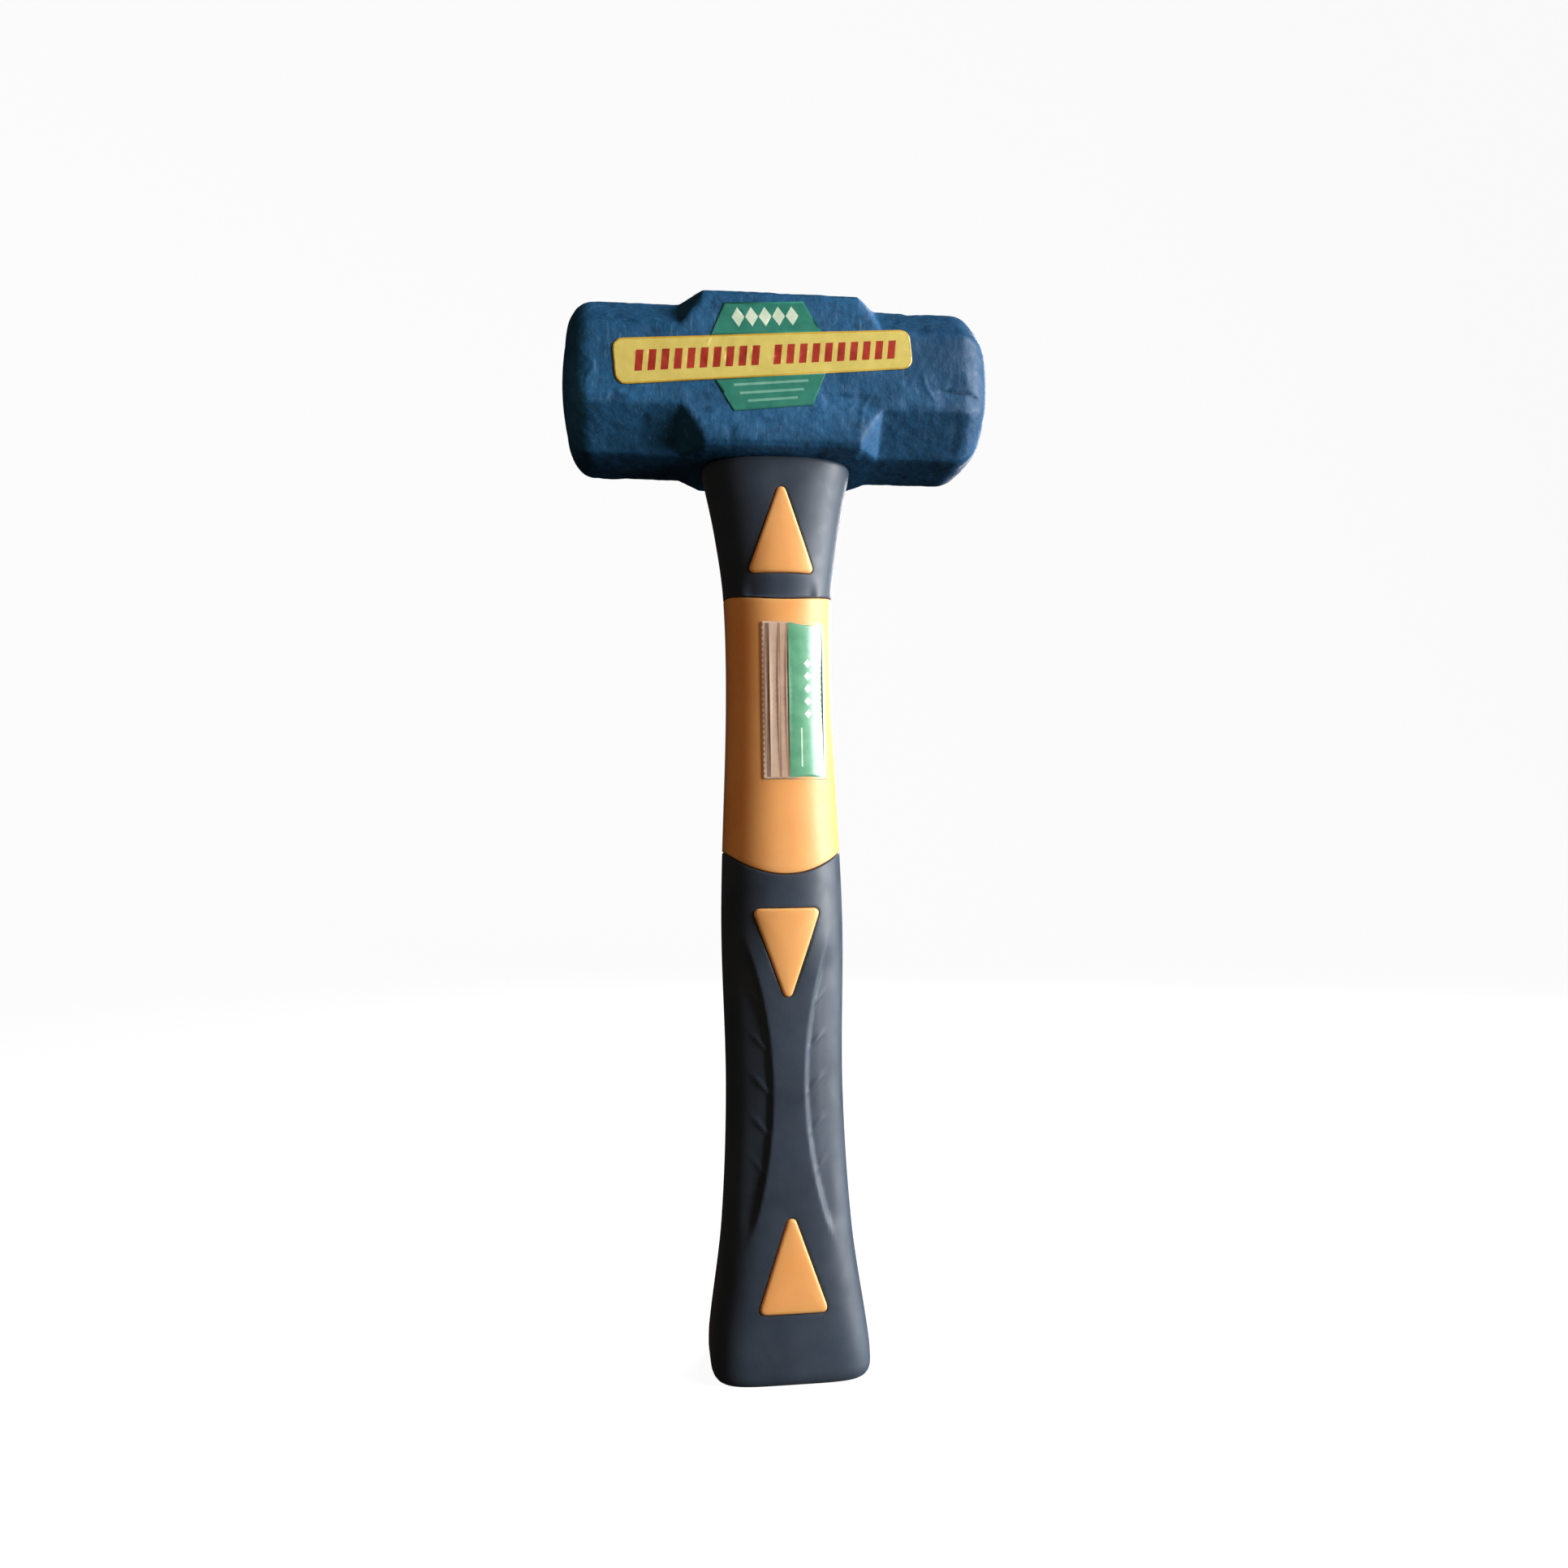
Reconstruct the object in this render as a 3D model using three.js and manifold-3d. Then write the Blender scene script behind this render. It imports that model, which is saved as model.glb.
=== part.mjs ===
// Short-handled sledgehammer: a forged double-faced head on a fibreglass rod with a moulded two-colour grip.
// Millimetres, +Z up along the handle. The origin is the centre of the flat butt, +X runs along the head and
// the labelled front faces -Y.
import * as THREE from "three";
import { mergeVertices } from "three/addons/utils/BufferGeometryUtils.js";
import Module from "manifold-3d";

const wasm = await Module();
wasm.setup();

// ---- Driving dimensions ----
const OVERALL = 300;
const GAP = 0.3; // clearance between pieces that touch on the real hammer
const MARGIN = 4; // extra length of a cutting body beyond what it cuts
const THROUGH = 30; // reach of a cutting slab either side of the handle's axis

const HEAD_LENGTH = 124;
const HEAD_ACROSS_FLATS = 44.5;
const END_CORNER = { cut: 11.2, soften: 1 }; // corners of the octagonal ends, rounded beside each cut
const SOFTENED = { inward: 0.3, along: 0.4 }; // how a softened edge bends, as shares of its softening
const SMALLEST_CUT = 2;
const BOSS_HALF_LENGTH = 22; // square cheek block round the eye
const BOSS_CORNER = { cut: 2.8, soften: 1.8 };
const BOSS_RISE = 0.5; // the block stands this much above and below the ends
const BOSS_RAMP = 6.5; // length of the sloping facets between block and ends
// Rounded rims of the striking faces: superellipse arcs, the right one the rounder. Each ends in a circle.
const LEFT_RIM = { along: 7.4, across: 7.4, exponent: 2 };
const RIGHT_RIM = { along: 9, across: 8, exponent: 1.8 };
const RIM_STEPS = [82, 62, 40, 20, 0]; // degrees round a rim at which it has a ring
const FACE_CROWN = 1.6; // doming of each striking face
const CROWN_RING = { rise: 0.7, radius: 0.5 }; // a ring on the dome, as shares of its rise and of its radius

const EYE_MOUTH = { halfWidth: 15, halfDepth: 10.5 };
const EYE_WAIST = { halfWidth: 13.6, halfDepth: 9.2 };
const EYE_SEAL_HEIGHT = 3;
const EYE_RECESS = 1; // rod and resin end this far below the top of the head

const ROD = { halfWidth: 10, halfDepth: 6.5 };
const ROD_BOTTOM = 12;
const ROUND = 2.3; // superellipse exponent of the rod and the eye

// Outside of the handle: height, half width along the head, half depth, superellipse exponent.
const HANDLE = [
  { z: 0, halfWidth: 22, halfDepth: 17.8, exponent: 4.8 },
  { z: 8, halfWidth: 21.8, halfDepth: 17.3, exponent: 4.5 },
  { z: 38, halfWidth: 18.2, halfDepth: 14.6, exponent: 3.1 },
  { z: 76, halfWidth: 16.6, halfDepth: 13.3, exponent: 2.5 },
  { z: 124, halfWidth: 17.4, halfDepth: 13.7, exponent: 2.4 },
  { z: 184, halfWidth: 15.4, halfDepth: 12.5, exponent: 2.3 },
  { z: 216, halfWidth: 15.8, halfDepth: 12.7, exponent: 2.3 },
  { z: 236, halfWidth: 18.3, halfDepth: 13.9, exponent: 2.4 },
  { z: 254.2, halfWidth: 21.9, halfDepth: 15.8, exponent: 2.6 },
];
const BUTT_ROUNDING = { height: 3, width: 2, depth: 1.2 }; // lower edge, softer at the sides
const SLEEVE_WALL = 2.6; // black rubber over the orange jacket
const JACKET_TOP = 250;
const JACKET_BOTTOM = 6;

// The bare orange band: its upper and lower edges dip at the middle of the front and back.
const BAND = { top: 215.6, topDip: 1.8, bottom: 142.5, bottomDip: 6.4 };
const DIP = { reach: 18, steps: 12 }; // how far from the axis, and in how many steps, the dip is drawn

// Orange pads that stand up through windows in the rubber, front and back: base height, apex height.
const PADS = [
  { base: 221.3, apex: 245.6, sleeve: "neck" },
  { base: 126.5, apex: 102.1, sleeve: "grip" },
  { base: 18.2, apex: 42.6, sleeve: "grip" },
];
const PAD_HALF_WIDTH = 9.1;
const PAD_CORNER = 1.4;
const PAD_PROUD = 0.5;

// Recessed side panels of the grip, outside an hourglass whose half width grows as a parabola. The recess is
// deepest along the hourglass and fades out towards the side of the handle.
const PANEL = { middle: 77, waist: 4.4, flare: 6.5, reach: 39, depth: 0.9, outer: 15.4, steps: 8 };
const RIBS = { count: 5, pitch: 11.3, lowest: 49.8, thickness: 2, slope: 0.8 }; // heights on the axis

// Stickers.
const BANNER = { x: -5, z: 280.4, length: 83.7, height: 12.3, corner: 3, tilt: 4.5, thickness: 0.3 };
const BADGE = { x: -3.8, z: 280.4, width: 37.2, edge: 22.2, height: 30.4, tilt: 4.5, thickness: 0.2 };
const TAG = { left: -6.1, right: 12.3, bottom: 162.5, top: 207.4, lift: 0.3, thickness: 0.25 };

// ---- Derived ----
const headHalf = HEAD_ACROSS_FLATS / 2;
const headCentre = OVERALL - BOSS_RISE - headHalf;
const headUnderside = headCentre - headHalf - BOSS_RISE;
const neckTop = headUnderside - GAP;
const bandMiddle = (BAND.top + BAND.bottom) / 2;
const ROUND_STEPS = 28; // points round a handle section
const RING_PITCH = 12; // height between those sections

// ---- Meshes and solids ----

// A closed body from rings of equal point count, each running anticlockwise about the way the rings advance.
function loft(rings, firstCentre, lastCentre) {
  const count = rings[0].length;
  const points = rings.flat();
  const triangles = [];
  for (let ring = 0; ring + 1 < rings.length; ring++) {
    for (let i = 0; i < count; i++) {
      const next = (i + 1) % count;
      const a = ring * count + i;
      const b = ring * count + next;
      triangles.push(a, b, b + count, a, b + count, a + count);
    }
  }
  const first = points.push(firstCentre) - 1;
  const last = points.push(lastCentre) - 1;
  const lastRing = (rings.length - 1) * count;
  for (let i = 0; i < count; i++) {
    const next = (i + 1) % count;
    triangles.push(first, next, i, last, lastRing + i, lastRing + next);
  }
  const geometry = new THREE.BufferGeometry().setFromPoints(points);
  geometry.setIndex(triangles);
  return geometry;
}

function solid(geometry) {
  const bare = geometry.clone();
  bare.deleteAttribute("normal");
  bare.deleteAttribute("uv");
  const merged = mergeVertices(bare, 1e-4);
  return new wasm.Manifold(
    new wasm.Mesh({
      numProp: 3,
      vertProperties: new Float32Array(merged.attributes.position.array),
      triVerts: new Uint32Array(merged.index.array),
    }),
  );
}

function geometryOf(body) {
  const mesh = body.getMesh();
  const geometry = new THREE.BufferGeometry();
  geometry.setAttribute("position", new THREE.BufferAttribute(new Float32Array(mesh.vertProperties), 3));
  geometry.setIndex(new THREE.BufferAttribute(new Uint32Array(mesh.triVerts), 1));
  geometry.computeVertexNormals();
  return geometry;
}

// A slab of an outline drawn in X and Z, running from one Y to another.
function slab(shape, fromY, toY) {
  const depth = toY - fromY;
  const geometry = new THREE.ExtrudeGeometry(shape, { depth, bevelEnabled: false, curveSegments: 3 });
  geometry.rotateX(Math.PI / 2);
  geometry.translate(0, toY, 0);
  return solid(geometry);
}

// ---- Sections ----

function superellipse(halfWidth, halfDepth, exponent, z) {
  const power = (value) => Math.sign(value) * Math.abs(value) ** (2 / exponent);
  return Array.from({ length: ROUND_STEPS }, (_, i) => {
    const angle = (2 * Math.PI * i) / ROUND_STEPS;
    return new THREE.Vector3(halfWidth * power(Math.cos(angle)), halfDepth * power(Math.sin(angle)), z);
  });
}

// A smooth curve through the handle stations: cubic between neighbours, sloped as the stations either side.
function handleValue(key, z) {
  const last = HANDLE.length - 1;
  let i = HANDLE.findIndex((station) => station.z > z) - 1;
  if (i < 0) i = z <= HANDLE[0].z ? 0 : last - 1;
  const slope = (k) => {
    const before = HANDLE[Math.max(k - 1, 0)];
    const after = HANDLE[Math.min(k + 1, last)];
    return (after[key] - before[key]) / (after.z - before.z);
  };
  const from = HANDLE[i];
  const to = HANDLE[i + 1];
  const span = to.z - from.z;
  const t = THREE.MathUtils.clamp((z - from.z) / span, 0, 1);
  const rise = to[key] - from[key];
  const start = slope(i) * span - rise;
  const end = rise - slope(i + 1) * span;
  return from[key] + t * rise + t * (1 - t) * (start * (1 - t) + end * t);
}

function handleRing(z, inset, flatten = 0) {
  const halfWidth = handleValue("halfWidth", z) - inset;
  const halfDepth = handleValue("halfDepth", z) - inset - flatten;
  return superellipse(halfWidth, halfDepth, handleValue("exponent", z), z);
}

// Heights of the handle's rings. Every body takes them from one ladder, so that nested walls stay parallel.
function ringHeights(bottom, top) {
  const heights = [bottom];
  for (let z = Math.ceil(bottom / RING_PITCH) * RING_PITCH; z < top - 1; z += RING_PITCH) {
    if (z > bottom + 1) heights.push(z);
  }
  return [...heights, top];
}

// The handle's outside between two heights, moved in by inset and its front and back by flatten more.
function handleBody(bottom, top, inset, flatten) {
  const rings = ringHeights(bottom, top).map((z) => handleRing(z, inset, flatten));
  return solid(loft(rings, new THREE.Vector3(0, 0, bottom), new THREE.Vector3(0, 0, top)));
}

// The same outside down to the flat butt, with a rounded lower edge.
function buttBody(top) {
  const rounding = [0, 30, 60].map((degrees) => {
    const angle = THREE.MathUtils.degToRad(degrees);
    const z = BUTT_ROUNDING.height * (1 - Math.cos(angle));
    const shrink = 1 - Math.sin(angle);
    const halfWidth = handleValue("halfWidth", z) - BUTT_ROUNDING.width * shrink;
    const halfDepth = handleValue("halfDepth", z) - BUTT_ROUNDING.depth * shrink;
    return superellipse(halfWidth, halfDepth, handleValue("exponent", z), z);
  });
  const sides = ringHeights(BUTT_ROUNDING.height, top).map((z) => handleRing(z, 0));
  return solid(loft([...rounding, ...sides], new THREE.Vector3(0, 0, 0), new THREE.Vector3(0, 0, top)));
}

function ovalBody(levels) {
  const rings = levels.map(({ halfWidth, halfDepth, z }) => superellipse(halfWidth, halfDepth, ROUND, z));
  const centre = (level) => new THREE.Vector3(0, 0, level.z);
  return solid(loft(rings, centre(levels[0]), centre(levels[levels.length - 1])));
}

function rodBody(bottom, top, grow) {
  const section = { halfWidth: ROD.halfWidth + grow, halfDepth: ROD.halfDepth + grow };
  return ovalBody([
    { ...section, z: bottom },
    { ...section, z: top },
  ]);
}

// The eye narrows to a waist halfway up the head. Positive grow makes it wider.
function eyeBody(bottom, top, grow) {
  const levelAt = (z) => {
    const away = Math.min(1, Math.abs(z - headCentre) / headHalf);
    return {
      halfWidth: THREE.MathUtils.lerp(EYE_WAIST.halfWidth, EYE_MOUTH.halfWidth, away) + grow,
      halfDepth: THREE.MathUtils.lerp(EYE_WAIST.halfDepth, EYE_MOUTH.halfDepth, away) + grow,
      z,
    };
  };
  const heights = bottom < headCentre && top > headCentre ? [bottom, headCentre, top] : [bottom, top];
  return ovalBody(heights.map(levelAt));
}

// ---- Outlines in X and Z ----

// A pad's outline, grown outwards: three corner arcs about points inside the triangle.
function roundedTriangle(pad, grow) {
  const up = Math.sign(pad.apex - pad.base);
  const corner = new THREE.Vector2(PAD_HALF_WIDTH - PAD_CORNER, pad.base + up * PAD_CORNER);
  const tip = new THREE.Vector2(0, pad.apex - up * PAD_CORNER);
  const square = Math.atan2(corner.x, Math.abs(tip.y - corner.y)); // direction square to the sloping side
  const shape = new THREE.Shape();
  const turn = (x, z, from, to) => shape.absarc(x, z, PAD_CORNER + grow, up * from, up * to, up < 0);
  turn(corner.x, corner.y, -Math.PI / 2, square);
  turn(tip.x, tip.y, square, Math.PI - square);
  turn(-corner.x, corner.y, Math.PI - square, (3 * Math.PI) / 2);
  shape.closePath();
  return shape;
}

// The band's outline, with grow added at both edges. A parabola gives each edge its dip.
function bandShape(grow) {
  const share = (height, x) => Math.max(0, 1 - (x / handleValue("halfWidth", height)) ** 2);
  const edge = (height, dip, x) => height - dip * share(height, x);
  const inner = Array.from({ length: DIP.steps + 1 }, (_, i) => DIP.reach * ((2 * i) / DIP.steps - 1));
  const xs = [-THROUGH, ...inner, THROUGH];
  const lower = xs.map((x) => new THREE.Vector2(x, edge(BAND.bottom, BAND.bottomDip, x) - grow));
  const upper = xs.map((x) => new THREE.Vector2(x, edge(BAND.top, BAND.topDip, x) + grow));
  return new THREE.Shape([...lower, ...upper.reverse()]);
}

function bannerShape() {
  const x = BANNER.length / 2 - BANNER.corner;
  const z = BANNER.height / 2 - BANNER.corner;
  const shape = new THREE.Shape();
  shape.absarc(x, z, BANNER.corner, 0, Math.PI / 2);
  shape.absarc(-x, z, BANNER.corner, Math.PI / 2, Math.PI);
  shape.absarc(-x, -z, BANNER.corner, Math.PI, (3 * Math.PI) / 2);
  shape.absarc(x, -z, BANNER.corner, (3 * Math.PI) / 2, 2 * Math.PI);
  shape.closePath();
  return shape;
}

function badgeShape() {
  const { width, edge, height } = BADGE;
  const right = [
    [edge / 2, -height / 2],
    [width / 2, 0],
    [edge / 2, height / 2],
  ];
  const left = right.map(([x, z]) => [-x, -z]);
  return new THREE.Shape([...right, ...left].map(([x, z]) => new THREE.Vector2(x, z)));
}

// ---- Pieces ----

// A section of the head: a rectangle whose corners are cut off and softened either side of the cut.
function headRing(x, half, tall, { cut, soften }) {
  const corner = [
    [half, tall - cut - soften],
    [half - soften * SOFTENED.inward, tall - cut + soften * SOFTENED.along],
    [half - cut + soften * SOFTENED.along, tall - soften * SOFTENED.inward],
    [half - cut - soften, tall],
  ];
  const quarter = (flipY, flipZ) => corner.map(([y, z]) => [flipY * y, flipZ * z]);
  const outline = [
    ...quarter(1, 1),
    ...quarter(-1, 1).reverse(),
    ...quarter(-1, -1),
    ...quarter(1, -1).reverse(),
  ].map(([y, z]) => new THREE.Vector3(x, y, headCentre + z));
  return outline.flatMap((point, i) => [point, point.clone().lerp(outline[(i + 1) % outline.length], 0.5)]);
}

// A section of an octagonal end, with its flats moved in and its outline drawn part of the way to a circle.
function endRing(x, inset, roundness) {
  const half = headHalf - inset;
  const cut = Math.max(END_CORNER.cut - inset * (2 - Math.SQRT2), SMALLEST_CUT);
  return headRing(x, half, half, { cut, soften: END_CORNER.soften }).map((point) => {
    const fromAxis = new THREE.Vector3(0, point.y, point.z - headCentre);
    fromAxis.multiplyScalar(THREE.MathUtils.lerp(1, half / fromAxis.length(), roundness));
    return fromAxis.add(new THREE.Vector3(x, 0, headCentre));
  });
}

// One half of the head, from the cheek block to the dome of its striking face.
function halfHead({ along, across, exponent }) {
  const faceEdge = HEAD_LENGTH / 2 - FACE_CROWN;
  const rim = RIM_STEPS.map(THREE.MathUtils.degToRad).map((angle) => {
    const share = 1 - Math.sin(angle) ** (2 / exponent);
    return endRing(faceEdge - along * (1 - Math.cos(angle) ** (2 / exponent)), across * share, share);
  });
  const crownRadius = (headHalf - across) * CROWN_RING.radius;
  return [
    headRing(BOSS_HALF_LENGTH, headHalf, headHalf + BOSS_RISE, BOSS_CORNER),
    endRing(BOSS_HALF_LENGTH + BOSS_RAMP, 0, 0),
    ...rim,
    endRing(faceEdge + FACE_CROWN * CROWN_RING.rise, headHalf - crownRadius, 1),
  ];
}

function makeHead() {
  const mirrored = (ring) => ring.map((point) => new THREE.Vector3(-point.x, point.y, point.z));
  const leftHalf = halfHead(LEFT_RIM).map(mirrored).reverse();
  const rightHalf = halfHead(RIGHT_RIM);
  const tip = new THREE.Vector3(HEAD_LENGTH / 2, 0, headCentre);
  const body = solid(loft([...leftHalf, ...rightHalf], new THREE.Vector3(-tip.x, 0, tip.z), tip));
  return body.subtract(eyeBody(headUnderside - MARGIN, OVERALL + MARGIN, 0));
}

function makeEyeSeal() {
  const bottom = headUnderside + GAP;
  const top = bottom + EYE_SEAL_HEIGHT;
  return eyeBody(bottom, top, -GAP).subtract(rodBody(bottom - MARGIN, top + MARGIN, GAP));
}

function makeEyeResin() {
  const bottom = headUnderside + EYE_SEAL_HEIGHT + 2 * GAP;
  const top = OVERALL - EYE_RECESS;
  return eyeBody(bottom, top, -GAP).subtract(rodBody(bottom - MARGIN, top + MARGIN, GAP));
}

function makeJacket() {
  const inset = SLEEVE_WALL + GAP;
  const lowestBand = BAND.bottom - BAND.bottomDip - MARGIN;
  const band = handleBody(lowestBand, BAND.top + MARGIN, 0).intersect(slab(bandShape(0), -THROUGH, THROUGH));
  let body = handleBody(JACKET_BOTTOM, JACKET_TOP, inset).add(band);
  for (const pad of PADS) {
    const pillar = slab(roundedTriangle(pad, 0), -THROUGH, THROUGH);
    const lowest = Math.min(pad.base, pad.apex) - MARGIN;
    const highest = Math.max(pad.base, pad.apex) + MARGIN;
    body = body.add(handleBody(lowest, highest, -PAD_PROUD).intersect(pillar));
  }
  return body.subtract(rodBody(ROD_BOTTOM - GAP, JACKET_TOP + MARGIN, GAP));
}

// Cuts the band and the windows of one sleeve out of a rubber body.
function openSleeve(body, sleeve) {
  let open = body.subtract(slab(bandShape(GAP), -THROUGH, THROUGH));
  for (const pad of PADS.filter((one) => one.sleeve === sleeve)) {
    open = open.subtract(slab(roundedTriangle(pad, GAP), -THROUGH, THROUGH));
  }
  return open;
}

function makeNeckSleeve() {
  const cavity = handleBody(bandMiddle - MARGIN, JACKET_TOP + GAP, SLEEVE_WALL);
  const bore = rodBody(bandMiddle - MARGIN, neckTop + MARGIN, GAP);
  const body = handleBody(bandMiddle, neckTop, 0).subtract(cavity).subtract(bore);
  return openSleeve(body, "neck");
}

function makeGripSleeve() {
  const cavity = handleBody(JACKET_BOTTOM - GAP, bandMiddle + MARGIN, SLEEVE_WALL);
  const panels = sidePanel(1).add(sidePanel(-1));
  return openSleeve(buttBody(bandMiddle).subtract(cavity).subtract(panels), "grip");
}

// The shallow recess of one side panel, less the slanting ribs that are left standing in it.
function sidePanel(side) {
  const { middle, waist, flare, reach, depth, outer, steps } = PANEL;
  const crease = Array.from({ length: steps + 1 }, (_, i) => {
    const along = (2 * i) / steps - 1;
    return new THREE.Vector2(side * (waist + flare * along ** 2), middle + reach * along);
  });
  const corners = [reach, -reach].map((away) => new THREE.Vector2(side * outer, middle + away));
  const skin = handleBody(middle - reach - MARGIN, middle + reach + MARGIN, -1).subtract(
    handleBody(middle - reach - 2 * MARGIN, middle + reach + 2 * MARGIN, 0, depth),
  );
  let recess = skin.intersect(slab(new THREE.Shape([...crease, ...corners]), -THROUGH, THROUGH));
  for (let i = 0; i < RIBS.count; i++) {
    const near = RIBS.lowest + i * RIBS.pitch;
    const far = near + RIBS.slope * THROUGH;
    const half = RIBS.thickness / 2;
    const rib = new THREE.Shape([
      new THREE.Vector2(0, near - half),
      new THREE.Vector2(side * THROUGH, far - half),
      new THREE.Vector2(side * THROUGH, far + half),
      new THREE.Vector2(0, near + half),
    ]);
    recess = recess.subtract(slab(rib, -THROUGH, THROUGH));
  }
  return recess;
}

// A flat sticker on the head's front: a hexagonal badge with a rounded banner across it.
function makeHeadLabel() {
  const place = (shape, { x, z, tilt, thickness }) => {
    const settings = { depth: thickness, bevelEnabled: false, curveSegments: 5 };
    const geometry = new THREE.ExtrudeGeometry(shape, settings);
    geometry.rotateZ(THREE.MathUtils.degToRad(tilt));
    geometry.rotateX(Math.PI / 2);
    geometry.translate(x, -headHalf, z);
    return solid(geometry);
  };
  return place(badgeShape(), BADGE).add(place(bannerShape(), BANNER));
}

// A film sticker that follows the band's curve.
function makeHandleLabel() {
  const outer = handleBody(TAG.bottom - MARGIN, TAG.top + MARGIN, -TAG.lift - TAG.thickness);
  const inner = handleBody(TAG.bottom - MARGIN, TAG.top + MARGIN, -TAG.lift);
  const outline = new THREE.Shape([
    new THREE.Vector2(TAG.left, TAG.bottom),
    new THREE.Vector2(TAG.right, TAG.bottom),
    new THREE.Vector2(TAG.right, TAG.top),
    new THREE.Vector2(TAG.left, TAG.top),
  ]);
  return outer.subtract(inner).intersect(slab(outline, -THROUGH, 0));
}

// ---- Assembly ----

const finishes = {
  bluePaint: { color: 0x29567a, roughness: 0.4, metalness: 0.3 },
  fibreglass: { color: 0xd9c58a, roughness: 0.5, metalness: 0 },
  resin: { color: 0x2a2a26, roughness: 0.3, metalness: 0 },
  blackRubber: { color: 0x2b3138, roughness: 0.6, metalness: 0 },
  orangePlastic: { color: 0xe8a262, roughness: 0.4, metalness: 0 },
  yellowDecal: { color: 0xd6c164, roughness: 0.35, metalness: 0 },
  greenDecal: { color: 0x68a788, roughness: 0.3, metalness: 0 },
};

const pieces = [
  ["head", makeHead(), "bluePaint"],
  ["core_rod", rodBody(ROD_BOTTOM, OVERALL - EYE_RECESS, 0), "fibreglass"],
  ["eye_resin", makeEyeResin(), "resin"],
  ["eye_seal", makeEyeSeal(), "blackRubber"],
  ["jacket", makeJacket(), "orangePlastic"],
  ["neck_sleeve", makeNeckSleeve(), "blackRubber"],
  ["grip_sleeve", makeGripSleeve(), "blackRubber"],
  ["head_label", makeHeadLabel(), "yellowDecal"],
  ["handle_label", makeHandleLabel(), "greenDecal"],
];

const sledgehammer = new THREE.Group();
for (const [name, body, finish] of pieces) {
  const mesh = new THREE.Mesh(geometryOf(body), new THREE.MeshStandardMaterial(finishes[finish]));
  mesh.name = name;
  sledgehammer.add(mesh);
}

export default sledgehammer;
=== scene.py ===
"""Short-handled sledgehammer: blue forged head, fibreglass rod, orange jacket, black rubber and two stickers.

Lengths are millimetres in the part's frame until a mesh is made, which is in metres.
The butt stands on Z = 0, +X runs along the head and the stickers face -Y.
"""

import math

import bmesh
import bpy
import numpy as np
from mathutils import Matrix, Vector, noise
from mathutils.bvhtree import BVHTree
from mathutils.geometry import delaunay_2d_cdt


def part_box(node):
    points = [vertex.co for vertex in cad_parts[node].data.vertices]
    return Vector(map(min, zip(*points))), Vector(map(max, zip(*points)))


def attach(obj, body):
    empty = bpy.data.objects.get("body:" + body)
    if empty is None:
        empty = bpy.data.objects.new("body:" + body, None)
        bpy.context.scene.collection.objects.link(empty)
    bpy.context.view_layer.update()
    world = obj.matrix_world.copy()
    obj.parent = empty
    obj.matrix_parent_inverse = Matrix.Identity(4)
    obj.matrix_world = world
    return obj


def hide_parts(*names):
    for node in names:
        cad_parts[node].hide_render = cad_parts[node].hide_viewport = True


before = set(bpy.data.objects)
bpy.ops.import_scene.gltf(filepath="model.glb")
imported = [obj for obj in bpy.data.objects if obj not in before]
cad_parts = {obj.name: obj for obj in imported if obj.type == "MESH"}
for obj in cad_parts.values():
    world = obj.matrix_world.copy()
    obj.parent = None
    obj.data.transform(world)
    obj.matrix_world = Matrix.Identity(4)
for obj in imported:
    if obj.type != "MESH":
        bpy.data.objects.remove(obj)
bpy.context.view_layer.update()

MM = 0.001
GAP = 0.3
COLUMNS = 144  # points round every handle section
ANGLES = np.arange(COLUMNS) * (2 * np.pi / COLUMNS)


def millimetres(node):
    """Lowest and highest corner of a CAD node."""
    lowest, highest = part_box(node)
    return np.array(lowest) / MM, np.array(highest) / MM


def heights_of(node):
    """Lowest and highest Z of a CAD node."""
    low, high = millimetres(node)
    return low[2], high[2]


HEAD_LOW, HEAD_HIGH = millimetres("head")
OVERALL = HEAD_HIGH[2]
HEAD_LENGTH = HEAD_HIGH[0] - HEAD_LOW[0]
HEAD_UNDERSIDE = HEAD_LOW[2]
HEAD_CENTRE = (HEAD_LOW[2] + HEAD_HIGH[2]) / 2
HEAD_HALF = HEAD_HIGH[1]
NECK_TOP = heights_of("neck_sleeve")[1]
JACKET_LOW, JACKET_HIGH = heights_of("jacket")

# ---- Head dimensions ----
END_CUT, END_SOFTEN = 11.2, 1  # the cut corners of an octagonal end and the softening of each of their edges
SMALLEST_CUT = 2
SOFTEN_IN, SOFTEN_ALONG = 0.3, 0.4  # how a softened edge bends, as shares of its softening
SIDE_STEPS = 5  # steps along each side of a head section
BOSS_HALF_LENGTH = 22
BOSS_CUT, BOSS_SOFTEN = 2.8, 1.8
BOSS_RISE = 0.5
BOSS_RAMP = 6.5
LEFT_RIM = (7.4, 7.4, 2)  # length along, width across and superellipse exponent of a striking face's rim
RIGHT_RIM = (9, 8, 1.8)
FACE_CROWN = 1.6
HEAD_GRAIN = 0.55  # spacing of the finished head's points
EYE_MOUTH = (15, 10.5)
EYE_WAIST = (13.6, 9.2)
EYE_EXPONENT = 2.3
ROD = (10, 6.5)
ROD_CHAMFER = 0.4
RESIN_SAG = 0.9  # hollow of the poured resin's top
JACKET_FLOOR = 6  # plastic below the rod

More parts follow.
